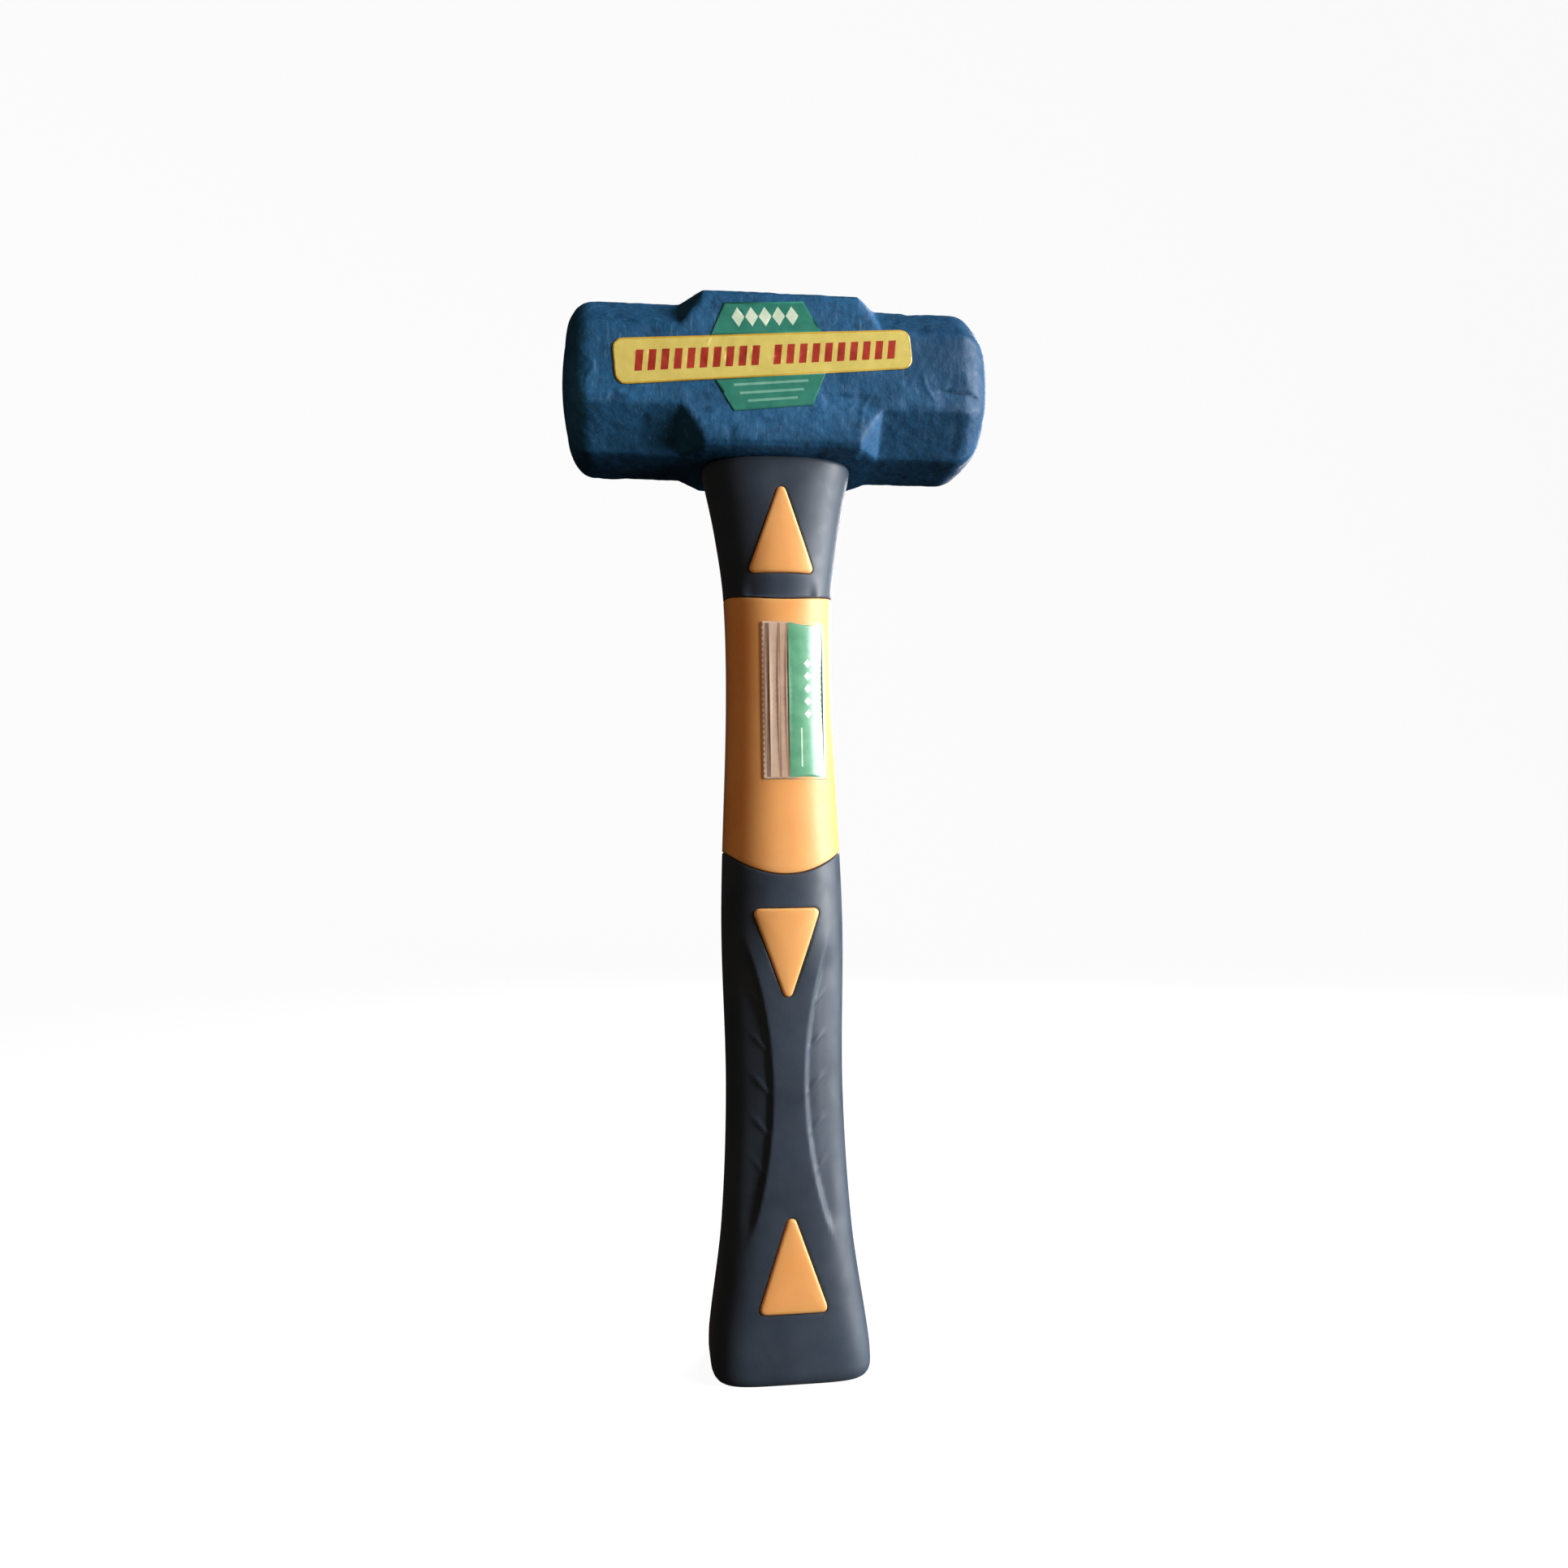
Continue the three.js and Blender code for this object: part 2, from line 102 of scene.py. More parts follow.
# ---- Handle dimensions: height, half width, half depth, superellipse exponent ----
STATIONS = np.array(
    [
        (0, 22, 17.8, 4.8),
        (8, 21.8, 17.3, 4.5),
        (38, 18.2, 14.6, 3.1),
        (76, 16.6, 13.3, 2.5),
        (124, 17.4, 13.7, 2.4),
        (184, 15.4, 12.5, 2.3),
        (216, 15.8, 12.7, 2.3),
        (236, 18.3, 13.9, 2.4),
        (254.2, 21.9, 15.8, 2.6),
    ]
)
SLEEVE_WALL = 2.6
BUTT_DISH, BUTT_DISH_FADE = 0.6, 0.15  # depth of the butt's hollow, and the share of the rim that slopes
BUTT_HEIGHT, BUTT_WIDTH, BUTT_DEPTH = 3, 2, 1.2  # rounding of the lower edge
BAND_TOP, BAND_TOP_DIP = 215.6, 1.8
BAND_BOTTOM, BAND_BOTTOM_DIP = 142.5, 6.4
PADS = {"neck": [(221.3, 245.6)], "grip": [(126.5, 102.1), (18.2, 42.6)]}  # base height, apex height
PAD_HALF_WIDTH = 9.1
PAD_CORNER = 1.4
PAD_PROUD = 0.5
PAD_DOME = 0.12
PAD_EDGE = [(0, 0.1), (-0.06, -0.12), (-0.25, -0.33), (-0.6, -0.45), (-1, -PAD_PROUD)]  # outward, depth
WINDOW_GAP = 0.12
LIP = [(0.3, 0), (0.17, 0.04), (0.06, 0.13), (0, 0.3)]  # rubber's rounded edge: distance from the edge, depth
BAND_LIP = [(0, 0.35), (0.08, 0.15), (0.2, 0.05), (0.35, 0)]  # the same for the orange band
NECK_LIP = [(0.5, 0.13), (0.86, 0.5), (1, 1)]  # the same under the head: rise, depth
NOTCH_DEPTH = 0.9
NOTCH_HALF_WIDTH = 8.4
NOTCH_FADE = 3
INNER_BUTT, INNER_NECK = 12, 246  # beyond these heights the inner skin closes up toward the jacket's ends

# ---- Grip panels: a flat hourglass between two stepped-down, ribbed sides ----
PANEL_MIDDLE, PANEL_WAIST, PANEL_FLARE, PANEL_REACH = 77, 4.4, 6.5, 39
PANEL_DEPTH = 0.9
PANEL_STEP = 1.2  # width of the step beside the hourglass
PANEL_END, PANEL_END_FADE = 0.82, 0.22  # as shares of the reach
PANEL_SIDE, PANEL_SIDE_FADE = 16.5, 7
FLATNESS = 0.5
FLAT_END, FLAT_END_FADE, FLAT_SIDE = 0.75, 0.4, 14
RIB_COUNT, RIB_PITCH, RIB_LOWEST, RIB_SLOPE = 5, 11.3, 49.8, 0.8
RIB_WIDTH = 0.8
RIB_HEIGHT = 0.5  # as a share of the panel's depth
RIB_CURL, RIB_CURL_REACH = -1.5, 2  # the ribs turn down where they meet the step
RIB_END, RIB_END_FADE = 12.5, 5

# ---- Sticker dimensions ----
BANNER = {"x": -5, "length": 83.7, "height": 12.3, "corner": 3, "taper": 0.0017, "border": 0.5}
BADGE = {"x": -3.8, "z": 280.4, "width": 37.2, "edge": 22.2, "height": 30.4}
BARS = {"starts": (-37.6, 1), "ends": (-3, 34), "pitch": 3.6, "width": 2.1, "half_height": 2.8, "slant": 0.18}
BADGE_DIAMONDS = {"count": 5, "reach": 7.6, "z": 11, "half_width": 1.8, "half_height": 2.8}
BADGE_LINES = [(-8, 10.5), (-10.4, 9), (-12.7, 7)]  # height, half length
BADGE_LINE_HALF = 0.35
STICKER_TILT = math.radians(4.5)
STICKER_MARGIN = 2  # the head is smoother this far round its sticker
# The film on the handle: its outline, then what is printed on it, measured from the left edge across.
TAG = {"left": -6.1, "right": 12.3, "bottom": 162.5, "top": 207.4, "corner": 0.6}
TAG_GREEN = {"x": 7.7, "inset": 0.4, "right_inset": 0.7}
TAG_LINES = [(1.2, 1.1), (4.7, 0.7), (7, 0.7)]  # start, width
TAG_LINE_INSET = 0.6
TAG_DIAMONDS = {"count": 5, "x": 13.2, "bottom": 181, "top": 195.4, "half_width": 1.1, "half_height": 1.3}
TAG_RULE = {"x": 11, "width": 0.4, "bottom": 166, "top": 177}


# ---- Meshes ----


class Skin:
    """Points and faces of one piece while it is being built."""

    def __init__(self):
        self.points = []
        self.faces = []

    def add(self, points):
        start = len(self.points)
        self.points.extend(np.asarray(points, float))
        return np.arange(start, len(self.points))

    def join(self, first, second):
        """Quads between two closed loops of equal length."""
        for a, b, c, d in zip(first, np.roll(first, -1), np.roll(second, -1), second):
            self.faces.append((a, b, c, d))

    def carry_on(self, last, rings):
        """Joins each ring of points to the loop before it, starting from last, and returns the final loop."""
        for ring in rings:
            following = self.add(ring)
            self.join(last, following)
            last = following
        return last

    def tube(self, rings):
        """Joins each ring of points to the one before it, and returns the first and last loops."""
        first = self.add(rings[0])
        return first, self.carry_on(first, rings[1:])

    def cap(self, loop, centre):
        middle = self.add([centre])[0]
        for a, b in zip(loop, np.roll(loop, -1)):
            self.faces.append((a, b, middle))


def mesh_object(name, points, faces):
    mesh = bpy.data.meshes.new(name)
    mesh.from_pydata((np.asarray(points) * MM).tolist(), [], [tuple(map(int, face)) for face in faces])
    shell = bmesh.new()
    shell.from_mesh(mesh)
    bmesh.ops.recalc_face_normals(shell, faces=shell.faces)
    shell.to_mesh(mesh)
    shell.free()
    mesh.shade_smooth()
    piece = bpy.data.objects.new(name, mesh)
    bpy.context.scene.collection.objects.link(piece)
    return piece


def solid(name, rings, start, end):
    """A closed mesh: rings of points joined in turn, with the first and last capped round start and end."""
    skin = Skin()
    first, last = skin.tube(rings)
    skin.cap(first, start)
    skin.cap(last, end)
    return mesh_object(name, skin.points, skin.faces)


def finish_piece(piece, node, slot, *materials):
    for material in materials:
        piece.data.materials.append(material)
    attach(piece, "root")
    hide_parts(node)
    return piece


def apply_modifiers(piece):
    graph = bpy.context.evaluated_depsgraph_get()
    mesh = bpy.data.meshes.new_from_object(piece.evaluated_get(graph))
    piece.modifiers.clear()
    piece.data = mesh


def smooth_step(value):
    value = np.clip(value, 0, 1)
    return value * value * (3 - 2 * value)


# ---- Sections ----


def station_curve(column, z):
    """A smooth curve through the handle stations."""
    heights = STATIONS[:, 0]
    values = STATIONS[:, column]
    before = np.maximum(np.arange(len(heights)) - 1, 0)
    after = np.minimum(np.arange(len(heights)) + 1, len(heights) - 1)
    slopes = (values[after] - values[before]) / (heights[after] - heights[before])
    z = np.clip(z, heights[0], heights[-1])
    i = np.clip(np.searchsorted(heights, z, side="right") - 1, 0, len(heights) - 2)
    span = heights[i + 1] - heights[i]
    t = (z - heights[i]) / span
    rise = values[i + 1] - values[i]
    start = slopes[i] * span - rise
    end = rise - slopes[i + 1] * span
    return values[i] + t * rise + t * (1 - t) * (start * (1 - t) + end * t)


def oval(half_width, half_depth, exponent, angle, z, depth=0.0):
    """Points on superellipse sections at these angles, moved in by depth."""
    along = np.cos(angle)
    across = np.sin(angle)
    radius = np.abs(along / half_width) ** exponent + np.abs(across / half_depth) ** exponent
    radius = radius ** (-1 / exponent)
    x = radius * along
    y = radius * across
    normal_x = np.sign(x) * np.abs(x / half_width) ** (exponent - 1) / half_width
    normal_y = np.sign(y) * np.abs(y / half_depth) ** (exponent - 1) / half_depth
    length = np.hypot(normal_x, normal_y)
    x = x - depth * normal_x / length
    y = y - depth * normal_y / length
    return np.stack([x, y, z + 0 * x], axis=-1)


def on_handle(angle, z, depth=0.0):
    z = np.asarray(z, float) + 0 * angle
    return oval(*(station_curve(column, z) for column in (1, 2, 3)), angle, z, depth)


def angle_and_height(flat, side):
    """Where points given in X and Z lie on the handle's front (side -1) or back (side 1)."""
    x, z = flat.T
    half_width, half_depth, exponent = (station_curve(column, z) for column in (1, 2, 3))
    y = side * half_depth * (1 - np.abs(x / half_width) ** exponent) ** (1 / exponent)
    return np.column_stack([np.arctan2(y, x) % (2 * np.pi), z])


def laid_on_handle(flat, side, depth):
    """Points given in X and Z, laid on the front or back of the handle."""
    return on_handle(*angle_and_height(flat, side).T, depth)


def rod_ring(z, grow=0.0):
    return oval(ROD[0], ROD[1], EYE_EXPONENT, ANGLES, z, -grow)


def eye_ring(z, grow=0.0):
    away = min(1, abs(z - HEAD_CENTRE) / HEAD_HALF)
    half_width = EYE_WAIST[0] + (EYE_MOUTH[0] - EYE_WAIST[0]) * away
    half_depth = EYE_WAIST[1] + (EYE_MOUTH[1] - EYE_WAIST[1]) * away
    return oval(half_width, half_depth, EYE_EXPONENT, ANGLES, z, -grow)


def band_edge(height, dip):
    """Height of a band edge at each column: it dips at the middle of the front and back."""
    x = on_handle(ANGLES, height)[:, 0]
    half_width = station_curve(1, height)
    return height - dip * (1 - (x / half_width) ** 2)


# ---- Camera ----

SENSOR = 36
LENS = 26.83
CAMERA_PLACE = Vector((1.1, -339.1, 137.3))
CAMERA_PITCH = 4.17
CAMERA_YAW = 6.5  # the hammer is turned this far from the view
HAMMER_LEAN = 0.85  # and leans this far in it, about LEAN_HEIGHT
LEAN_HEIGHT = 150


def make_camera():
    lens = bpy.data.cameras.new("camera")
    lens.sensor_width = SENSOR
    lens.lens = LENS
    lens.clip_start = 0.01
    camera = bpy.data.objects.new("camera", lens)
    bpy.context.scene.collection.objects.link(camera)
    upright = Matrix.Rotation(math.radians(HAMMER_LEAN), 4, "Y")
    turned = Matrix.Rotation(math.radians(-CAMERA_YAW), 4, "Z")
    pivot = Matrix.Translation((0, 0, LEAN_HEIGHT * MM))
    place = Matrix.Translation(CAMERA_PLACE * MM)
    aim = Matrix.Rotation(math.radians(90 + CAMERA_PITCH), 4, "X")
    camera.matrix_world = pivot @ upright @ pivot.inverted() @ turned @ place @ aim
    bpy.context.scene.camera = camera


# ---- Material nodes ----


class Surface:
    """A Principled material, with short calls that add nodes to it."""

    def __init__(self, name, **sockets):
        self.material = bpy.data.materials.new(name)
        self.material.use_nodes = True
        self.tree = self.material.node_tree
        self.shader = self.tree.nodes["Principled BSDF"]
        for socket, value in sockets.items():
            self.shader.inputs[socket.replace("_", " ")].default_value = value
        self.place = self.tree.nodes.new("ShaderNodeTexCoord").outputs["Object"]

    def node(self, kind, values, output=0, **settings):
        made = self.tree.nodes.new(kind)
        for key, value in settings.items():
            setattr(made, key, value)
        for socket, value in values.items():
            self.feed(made.inputs[socket], value)
        return made.outputs[output]

    def feed(self, socket, value):
        if isinstance(value, bpy.types.NodeSocket):
            self.tree.links.new(value, socket)
        else:
            socket.default_value = value

    def set(self, socket, value):
        self.feed(self.shader.inputs[socket], value)

    def noise(self, size, detail=3.0, roughness=0.5, place=None):
        """Noise from 0 to 1 with features about this many millimetres across."""
        values = {"Vector": place or self.place, "Scale": 1 / (size * MM)}
        return self.node("ShaderNodeTexNoise", {**values, "Detail": detail, "Roughness": roughness})

    def span(self, value, low, high, to_low=0.0, to_high=1.0):
        """Maps low..high onto to_low..to_high, smoothly and clamped."""
        values = {"Value": value, "From Min": low, "From Max": high, "To Min": to_low, "To Max": to_high}
        return self.node("ShaderNodeMapRange", values, interpolation_type="SMOOTHSTEP")

    def times(self, first, second):
        return self.node("ShaderNodeMath", {0: first, 1: second}, operation="MULTIPLY")

    def axis(self, name):
        return self.node("ShaderNodeSeparateXYZ", {"Vector": self.place}, output=name)

    def blend(self, amount, first, second):
        values = {"Factor": amount, 6: first, 7: second}
        return self.node("ShaderNodeMix", values, output=2, data_type="RGBA")

    def bump(self, *layers):
        """Layers of (height, strength, depth in millimetres), laid one on another."""
        normal = None
        for height, strength, depth in layers:
            values = {"Height": height, "Strength": strength, "Distance": depth * MM}
            if normal:
                values["Normal"] = normal
            normal = self.node("ShaderNodeBump", values)
        self.set("Normal", normal)


def rgb(red, green, blue):
    """A colour of 0 to 255 values as scene-linear RGBA."""

    def linear(value):
        value = value / 255
        return value / 12.92 if value < 0.04045 else ((value + 0.055) / 1.055) ** 2.4

    return (linear(red), linear(green), linear(blue), 1)


# ---- Materials ----


def blue_paint():
    paint = Surface("blue_paint", Specular_IOR_Level=0.28)
    colour = paint.blend(paint.span(paint.noise(14, 2), 0.3, 0.7), rgb(29, 79, 117), rgb(41, 97, 141))
    dirt = paint.span(paint.noise(5, 5, 0.65), 0.52, 0.7)
    colour = paint.blend(paint.times(dirt, 0.5), colour, rgb(15, 42, 65))
    mottle = paint.span(paint.noise(1.3, 3, 0.6), 0.35, 0.65, 0, 0.3)
    colour = paint.blend(mottle, colour, rgb(20, 58, 92))
    rubbed = paint.span(paint.noise(2.2, 6, 0.75), 0.6, 0.7)
    colour = paint.blend(paint.times(rubbed, 0.35), colour, rgb(80, 124, 158))
    upright = paint.node("ShaderNodeMapping", {"Vector": paint.place, "Scale": (1, 1, 0.16)})
    streak = paint.noise(1, 3, 0.6, place=upright)
    streaked = paint.times(paint.span(streak, 0.58, 0.72), 0.3)
    colour = paint.blend(streaked, colour, rgb(100, 142, 172))
    # Painted shade: the paint darkens toward the head's +X end, from 20 mm to 50 mm out and beyond.
    painted_shade_end = paint.span(paint.axis("X"), 0.02, 0.05, 0, 0.55)
    colour = paint.blend(painted_shade_end, colour, rgb(20, 54, 84))
    sharpness = paint.node("ShaderNodeNewGeometry", {}, output="Pointiness")
    # Painted shade: the paint darkens in dents, laps and hollows, where the mesh is concave.
    colour = paint.blend(paint.span(sharpness, 0.49, 0.44, 0, 0.7), colour, rgb(12, 32, 50))
    # Partly edge wear, partly painted highlight: the paint lightens on ridges, where the mesh is convex.
    colour = paint.blend(paint.span(sharpness, 0.52, 0.58, 0, 0.35), colour, rgb(104, 148, 178))
    paint.set("Base Color", colour)
    paint.set("Roughness", paint.span(paint.noise(4, 4), 0.3, 0.7, 0.46, 0.64))
    paint.bump((paint.noise(1.7, 4, 0.6), 0.6, 0.3), (streak, 0.2, 0.2), (paint.noise(0.5, 2), 0.25, 0.08))
    return paint.material


def black_rubber(name="black_rubber"):
    rubber = Surface(name, Specular_IOR_Level=0.5, Sheen_Weight=0.08, Sheen_Roughness=0.5)
    broad = rubber.noise(18, 3)
    rubber.set("Base Color", rubber.blend(rubber.span(broad, 0.3, 0.7), rgb(42, 53, 67), rgb(52, 64, 79)))
    rubber.set("Roughness", rubber.span(rubber.noise(7, 4), 0.3, 0.7, 0.44, 0.58))
    rubber.bump((rubber.noise(0.45, 2), 0.35, 0.06), (rubber.noise(5, 3), 0.1, 0.2))
    return rubber.material


def orange_plastic():
    plastic = Surface("orange_plastic", Subsurface_Weight=0.35, Subsurface_Scale=0.004)
    plastic.shader.inputs["Subsurface Radius"].default_value = (1, 0.35, 0.12)
    broad = plastic.noise(22, 3)
    colour = plastic.blend(plastic.span(broad, 0.3, 0.7), rgb(234, 167, 98), rgb(240, 177, 108))
    plastic.set("Base Color", colour)
    plastic.set("Roughness", plastic.span(plastic.noise(6, 4), 0.3, 0.7, 0.38, 0.5))
    plastic.bump((plastic.noise(0.6, 2), 0.2, 0.05), (plastic.noise(9, 2), 0.1, 0.2))
    return plastic.material


def fibreglass():
    glass = Surface("fibreglass", IOR=1.5)
    strands = glass.node("ShaderNodeTexVoronoi", {"Vector": glass.place, "Scale": 1 / (0.5 * MM)})
    colour = glass.blend(glass.span(strands, 0.1, 0.7), rgb(222, 204, 150), rgb(178, 152, 96))
    glass.set("Base Color", colour)
    glass.set("Roughness", 0.45)
    glass.bump((strands, 0.4, 0.1))
    return glass.material


def resin():
    epoxy = Surface("resin", IOR=1.55, Coat_Weight=0.3)
    tone = epoxy.span(epoxy.noise(3, 4), 0.3, 0.7)
    epoxy.set("Base Color", epoxy.blend(tone, rgb(38, 36, 30), rgb(66, 60, 46)))
    epoxy.set("Roughness", epoxy.span(epoxy.noise(2, 3), 0.3, 0.7, 0.18, 0.4))
    epoxy.bump((epoxy.noise(2.5, 3), 0.5, 0.3))
    return epoxy.material


# Darkest and lightest tone of each ink.
HEAD_INKS = {
    "green_ink": ((44, 118, 100), (54, 130, 112)),
    "yellow_ink": ((204, 188, 98), (214, 198, 108)),
    "red_ink": ((150, 44, 34), (176, 60, 44)),
    "white_ink": ((190, 214, 190), (214, 228, 208)),
    "gold_ink": ((188, 150, 50), (204, 170, 66)),
    "pale_ink": ((104, 160, 142), (122, 176, 156)),
}
FILM_INKS = {
    "clear_film": ((188, 158, 136), (204, 174, 152)),
    "film_green": ((84, 150, 116), (100, 164, 128)),
    "dark_ink": ((146, 120, 102), (160, 134, 116)),
    "film_white": ((190, 214, 190), (214, 228, 208)),
}


def make_inks(tones, coat):
    """Materials of printed colours under clear film. The bare film is lightened toward its left edge, a
    painted sheen.
    """
    inks = []
    for name, (dark, light) in tones.items():
        ink = Surface(name, Coat_Weight=coat, Coat_Roughness=0.2)
        colour = ink.blend(ink.span(ink.noise(4, 4, 0.6), 0.3, 0.7), rgb(*dark), rgb(*light))
        # Painted sheen: the bare film turns nearly white toward its left edge.
        if name == "clear_film":
            colour = ink.blend(ink.span(ink.axis("X"), -0.006, 0, 0.7, 0), colour, rgb(252, 228, 206))
        ink.set("Base Color", colour)
        ink.set("Roughness", ink.span(ink.noise(3, 3), 0.3, 0.7, 0.28, 0.42))
        ink.bump((ink.noise(2.2, 3), 0.15, 0.12))
        inks.append(ink.material)
    return inks


# ---- Head ----


def head_ring(x, half, tall, cut, soften):
    """A square with cut corners, in the YZ plane."""
    corner = np.array(
        [
            (half, tall - cut - soften),
            (half - soften * SOFTEN_IN, tall - cut + soften * SOFTEN_ALONG),
            (half - cut + soften * SOFTEN_ALONG, tall - soften * SOFTEN_IN),
            (half - cut - soften, tall),
        ]
    )
    quarters = [corner, corner[::-1] * (-1, 1), corner * (-1, -1), corner[::-1] * (1, -1)]
    outline = np.concatenate(quarters)
    shares = np.arange(SIDE_STEPS) / SIDE_STEPS
    ends = np.roll(outline, -1, axis=0)
    outline = np.concatenate([start + (end - start) * shares[:, None] for start, end in zip(outline, ends)])
    return np.column_stack([np.full(len(outline), x), outline[:, 0], outline[:, 1] + HEAD_CENTRE])


def end_ring(x, inset, roundness):
    """A section of an octagonal end: its flats moved in, its outline drawn part of the way to a circle."""
    half = HEAD_HALF - inset
    cut = max(END_CUT - inset * (2 - math.sqrt(2)), SMALLEST_CUT)
    ring = head_ring(x, half, half, cut, END_SOFTEN)
    centre = np.array([x, 0, HEAD_CENTRE])
    away = ring - centre
    to_circle = half / np.linalg.norm(away, axis=1)[:, None]
    return centre + away * (1 + (to_circle - 1) * roundness)


def half_head(along, across, exponent):
    """Rings from the cheek block to the dome of a striking face."""
    face_edge = HEAD_LENGTH / 2 - FACE_CROWN
    rings = [
        head_ring(BOSS_HALF_LENGTH, HEAD_HALF, HEAD_HALF + BOSS_RISE, BOSS_CUT, BOSS_SOFTEN),
        end_ring(BOSS_HALF_LENGTH + BOSS_RAMP, 0, 0),
    ]
    for turn in np.radians(np.arange(88, -1, -8)):
        back = along * (1 - math.cos(turn) ** (2 / exponent))
        share = 1 - math.sin(turn) ** (2 / exponent)
        rings.append(end_ring(face_edge - back, across * share, share))
    for share in (0.75, 0.5, 0.25):
        rise = FACE_CROWN * (1 - share**2)
        rings.append(end_ring(face_edge + rise, HEAD_HALF - (HEAD_HALF - across) * share, 1))
    return rings


def head_blank():
    """The forging before its surface is roughened."""
    left = [ring * (-1, 1, 1) for ring in half_head(*LEFT_RIM)]
    rings = [*left[::-1], *half_head(*RIGHT_RIM)]
    reach = HEAD_LENGTH / 2
    return solid("forged_head", rings, (-reach, 0, HEAD_CENTRE), (reach, 0, HEAD_CENTRE))


def eye_cutter():
    overshoot = 5
    heights = [HEAD_UNDERSIDE - overshoot, HEAD_UNDERSIDE, HEAD_CENTRE, OVERALL, OVERALL + overshoot]
    rings = [eye_ring(z) for z in heights]
    return solid("eye_cutter", rings, (0, 0, heights[0]), (0, 0, heights[-1]))


LUMPS = [(11, 0.2), (4, 0.12), (1.9, 0.09)]  # size, height
DENT_SIZE, DENT_DEPTH, DENT_LEVEL = 6, 0.7, 0.28
DENT_SHIFT = Vector((7, 3, 1))
WANDER_SIZE, WANDER = 5, 0.6  # how the lines below stray
LABEL_CALM = 0.6  # share of the lumps that is missing under the sticker
FRONT_SHARE = 0.8  # the lines below are on the part of the head that is further forward than this
# Cold laps on the front: heights along X of lines above which the metal hangs over, then how far it does.
LAPS = [
    ([(10, 270.6), (18, 269.8), (27, 270.2)], 0.6),
    ([(43, 272.8), (51, 272.4), (59, 270.6)], 0.9),
    ([(-58, 268.4), (-50, 267.4), (-42, 268.6)], 0.25),
]
LAP_FADE = 3.5
LAP_EDGE = 0.5
# Paint runs: raised lines in X and Z, then their height.
RUNS = [
    ([(25, 270), (22.5, 266), (21.8, 261)], 0.2),
    ([(25.5, 267.3), (38, 267), (50, 267.6)], 0.16),
    ([(40, 276), (41.2, 272), (43, 269.5)], 0.25),
    ([(-46, 268.5), (-41, 267.2), (-37, 268.4)], 0.2),
    ([(-55, 279), (-52, 276), (-54, 272)], 0.2),
]
RUN_WIDTH = 0.5


def line_distance(points, start, end):
    start, end = np.array(start), np.array(end)
    along = end - start
    share = np.clip((points - start) @ along / (along @ along), 0, 1)
    return np.linalg.norm(points - start - share[:, None] * along, axis=1)


def forge_marks(points):
    """Height of the hammered, thickly painted surface at each point."""
    height = np.empty(len(points))
    for i, point in enumerate(points):
        place = Vector(point)
        lumps = sum(noise.noise(place / size) * rise for size, rise in LUMPS)
        dent = max(0, noise.noise(place / DENT_SIZE + DENT_SHIFT) - DENT_LEVEL)
        height[i] = lumps - dent * DENT_DEPTH
    height *= 1 - LABEL_CALM * under_label(points)
    front = points[:, 1] < -HEAD_HALF * FRONT_SHARE
    wander = np.array([noise.noise(Vector(point) / WANDER_SIZE) for point in points]) * WANDER
    flat = points[:, (0, 2)] + wander[:, None]
    for line, rise in RUNS:
        gap = np.min([line_distance(flat, start, end) for start, end in zip(line, line[1:])], axis=0)
        height += front * rise * np.exp(-((gap / RUN_WIDTH) ** 2))
    for line, rise in LAPS:
        x, z = np.array(line).T
        below = np.interp(flat[:, 0], x, z) - flat[:, 1]
        within = smooth_step((flat[:, 0] - x[0]) / LAP_FADE) * smooth_step((x[-1] - flat[:, 0]) / LAP_FADE)
        step = smooth_step(below / LAP_EDGE) * np.exp(-np.maximum(below, 0) / LAP_FADE)
        height -= front * rise * within * step
    return height


def under_label(points):
    """One where the sticker will lie, nothing well outside it."""
    turned = points[:, (0, 2)] - (BADGE["x"], BADGE["z"])
    along = np.abs(turned[:, 0] - BANNER["x"] + BADGE["x"])
    rise = turned[:, 1] - turned[:, 0] * math.tan(STICKER_TILT)
    within_banner = smooth_step(BANNER["height"] / 2 + STICKER_MARGIN - np.abs(rise))
    within_banner *= smooth_step(BANNER["length"] / 2 + STICKER_MARGIN - along)
    within_badge = smooth_step(BADGE["height"] / 2 + STICKER_MARGIN - np.abs(rise))
    within_badge *= smooth_step(BADGE["edge"] / 2 + 2 * STICKER_MARGIN - np.abs(turned[:, 0]))
    return np.maximum(within_banner, within_badge) * (points[:, 1] < 0)


def eye_distance(points):
    """Roughly how far points are outside the eye."""
    away = np.abs(points[:, :2] / EYE_MOUTH) ** EYE_EXPONENT
    return (away.sum(axis=1) ** (1 / EYE_EXPONENT) - 1) * EYE_MOUTH[1]


def roughen(head):
    """Moves the head's points to the forged surface, which is smooth at the striking faces and in the eye."""
    mesh = head.data
    points = np.empty(len(mesh.vertices) * 3)
    mesh.vertices.foreach_get("co", points)
    points = points.reshape(-1, 3) / MM
    normals = np.array([vertex.normal for vertex in mesh.vertices])
    face_edge, face_fade, least = 1, 6, 0.15
    eye_edge, eye_fade = 2, 3
    away_from_face = smooth_step((HEAD_LENGTH / 2 - np.abs(points[:, 0]) - face_edge) / face_fade)
    away_from_eye = 1 - smooth_step((eye_edge - eye_distance(points)) / eye_fade)
    height = forge_marks(points) * (least + (1 - least) * away_from_face) * away_from_eye
    mesh.vertices.foreach_set("co", ((points + normals * height[:, None]) * MM).ravel())
    mesh.update()


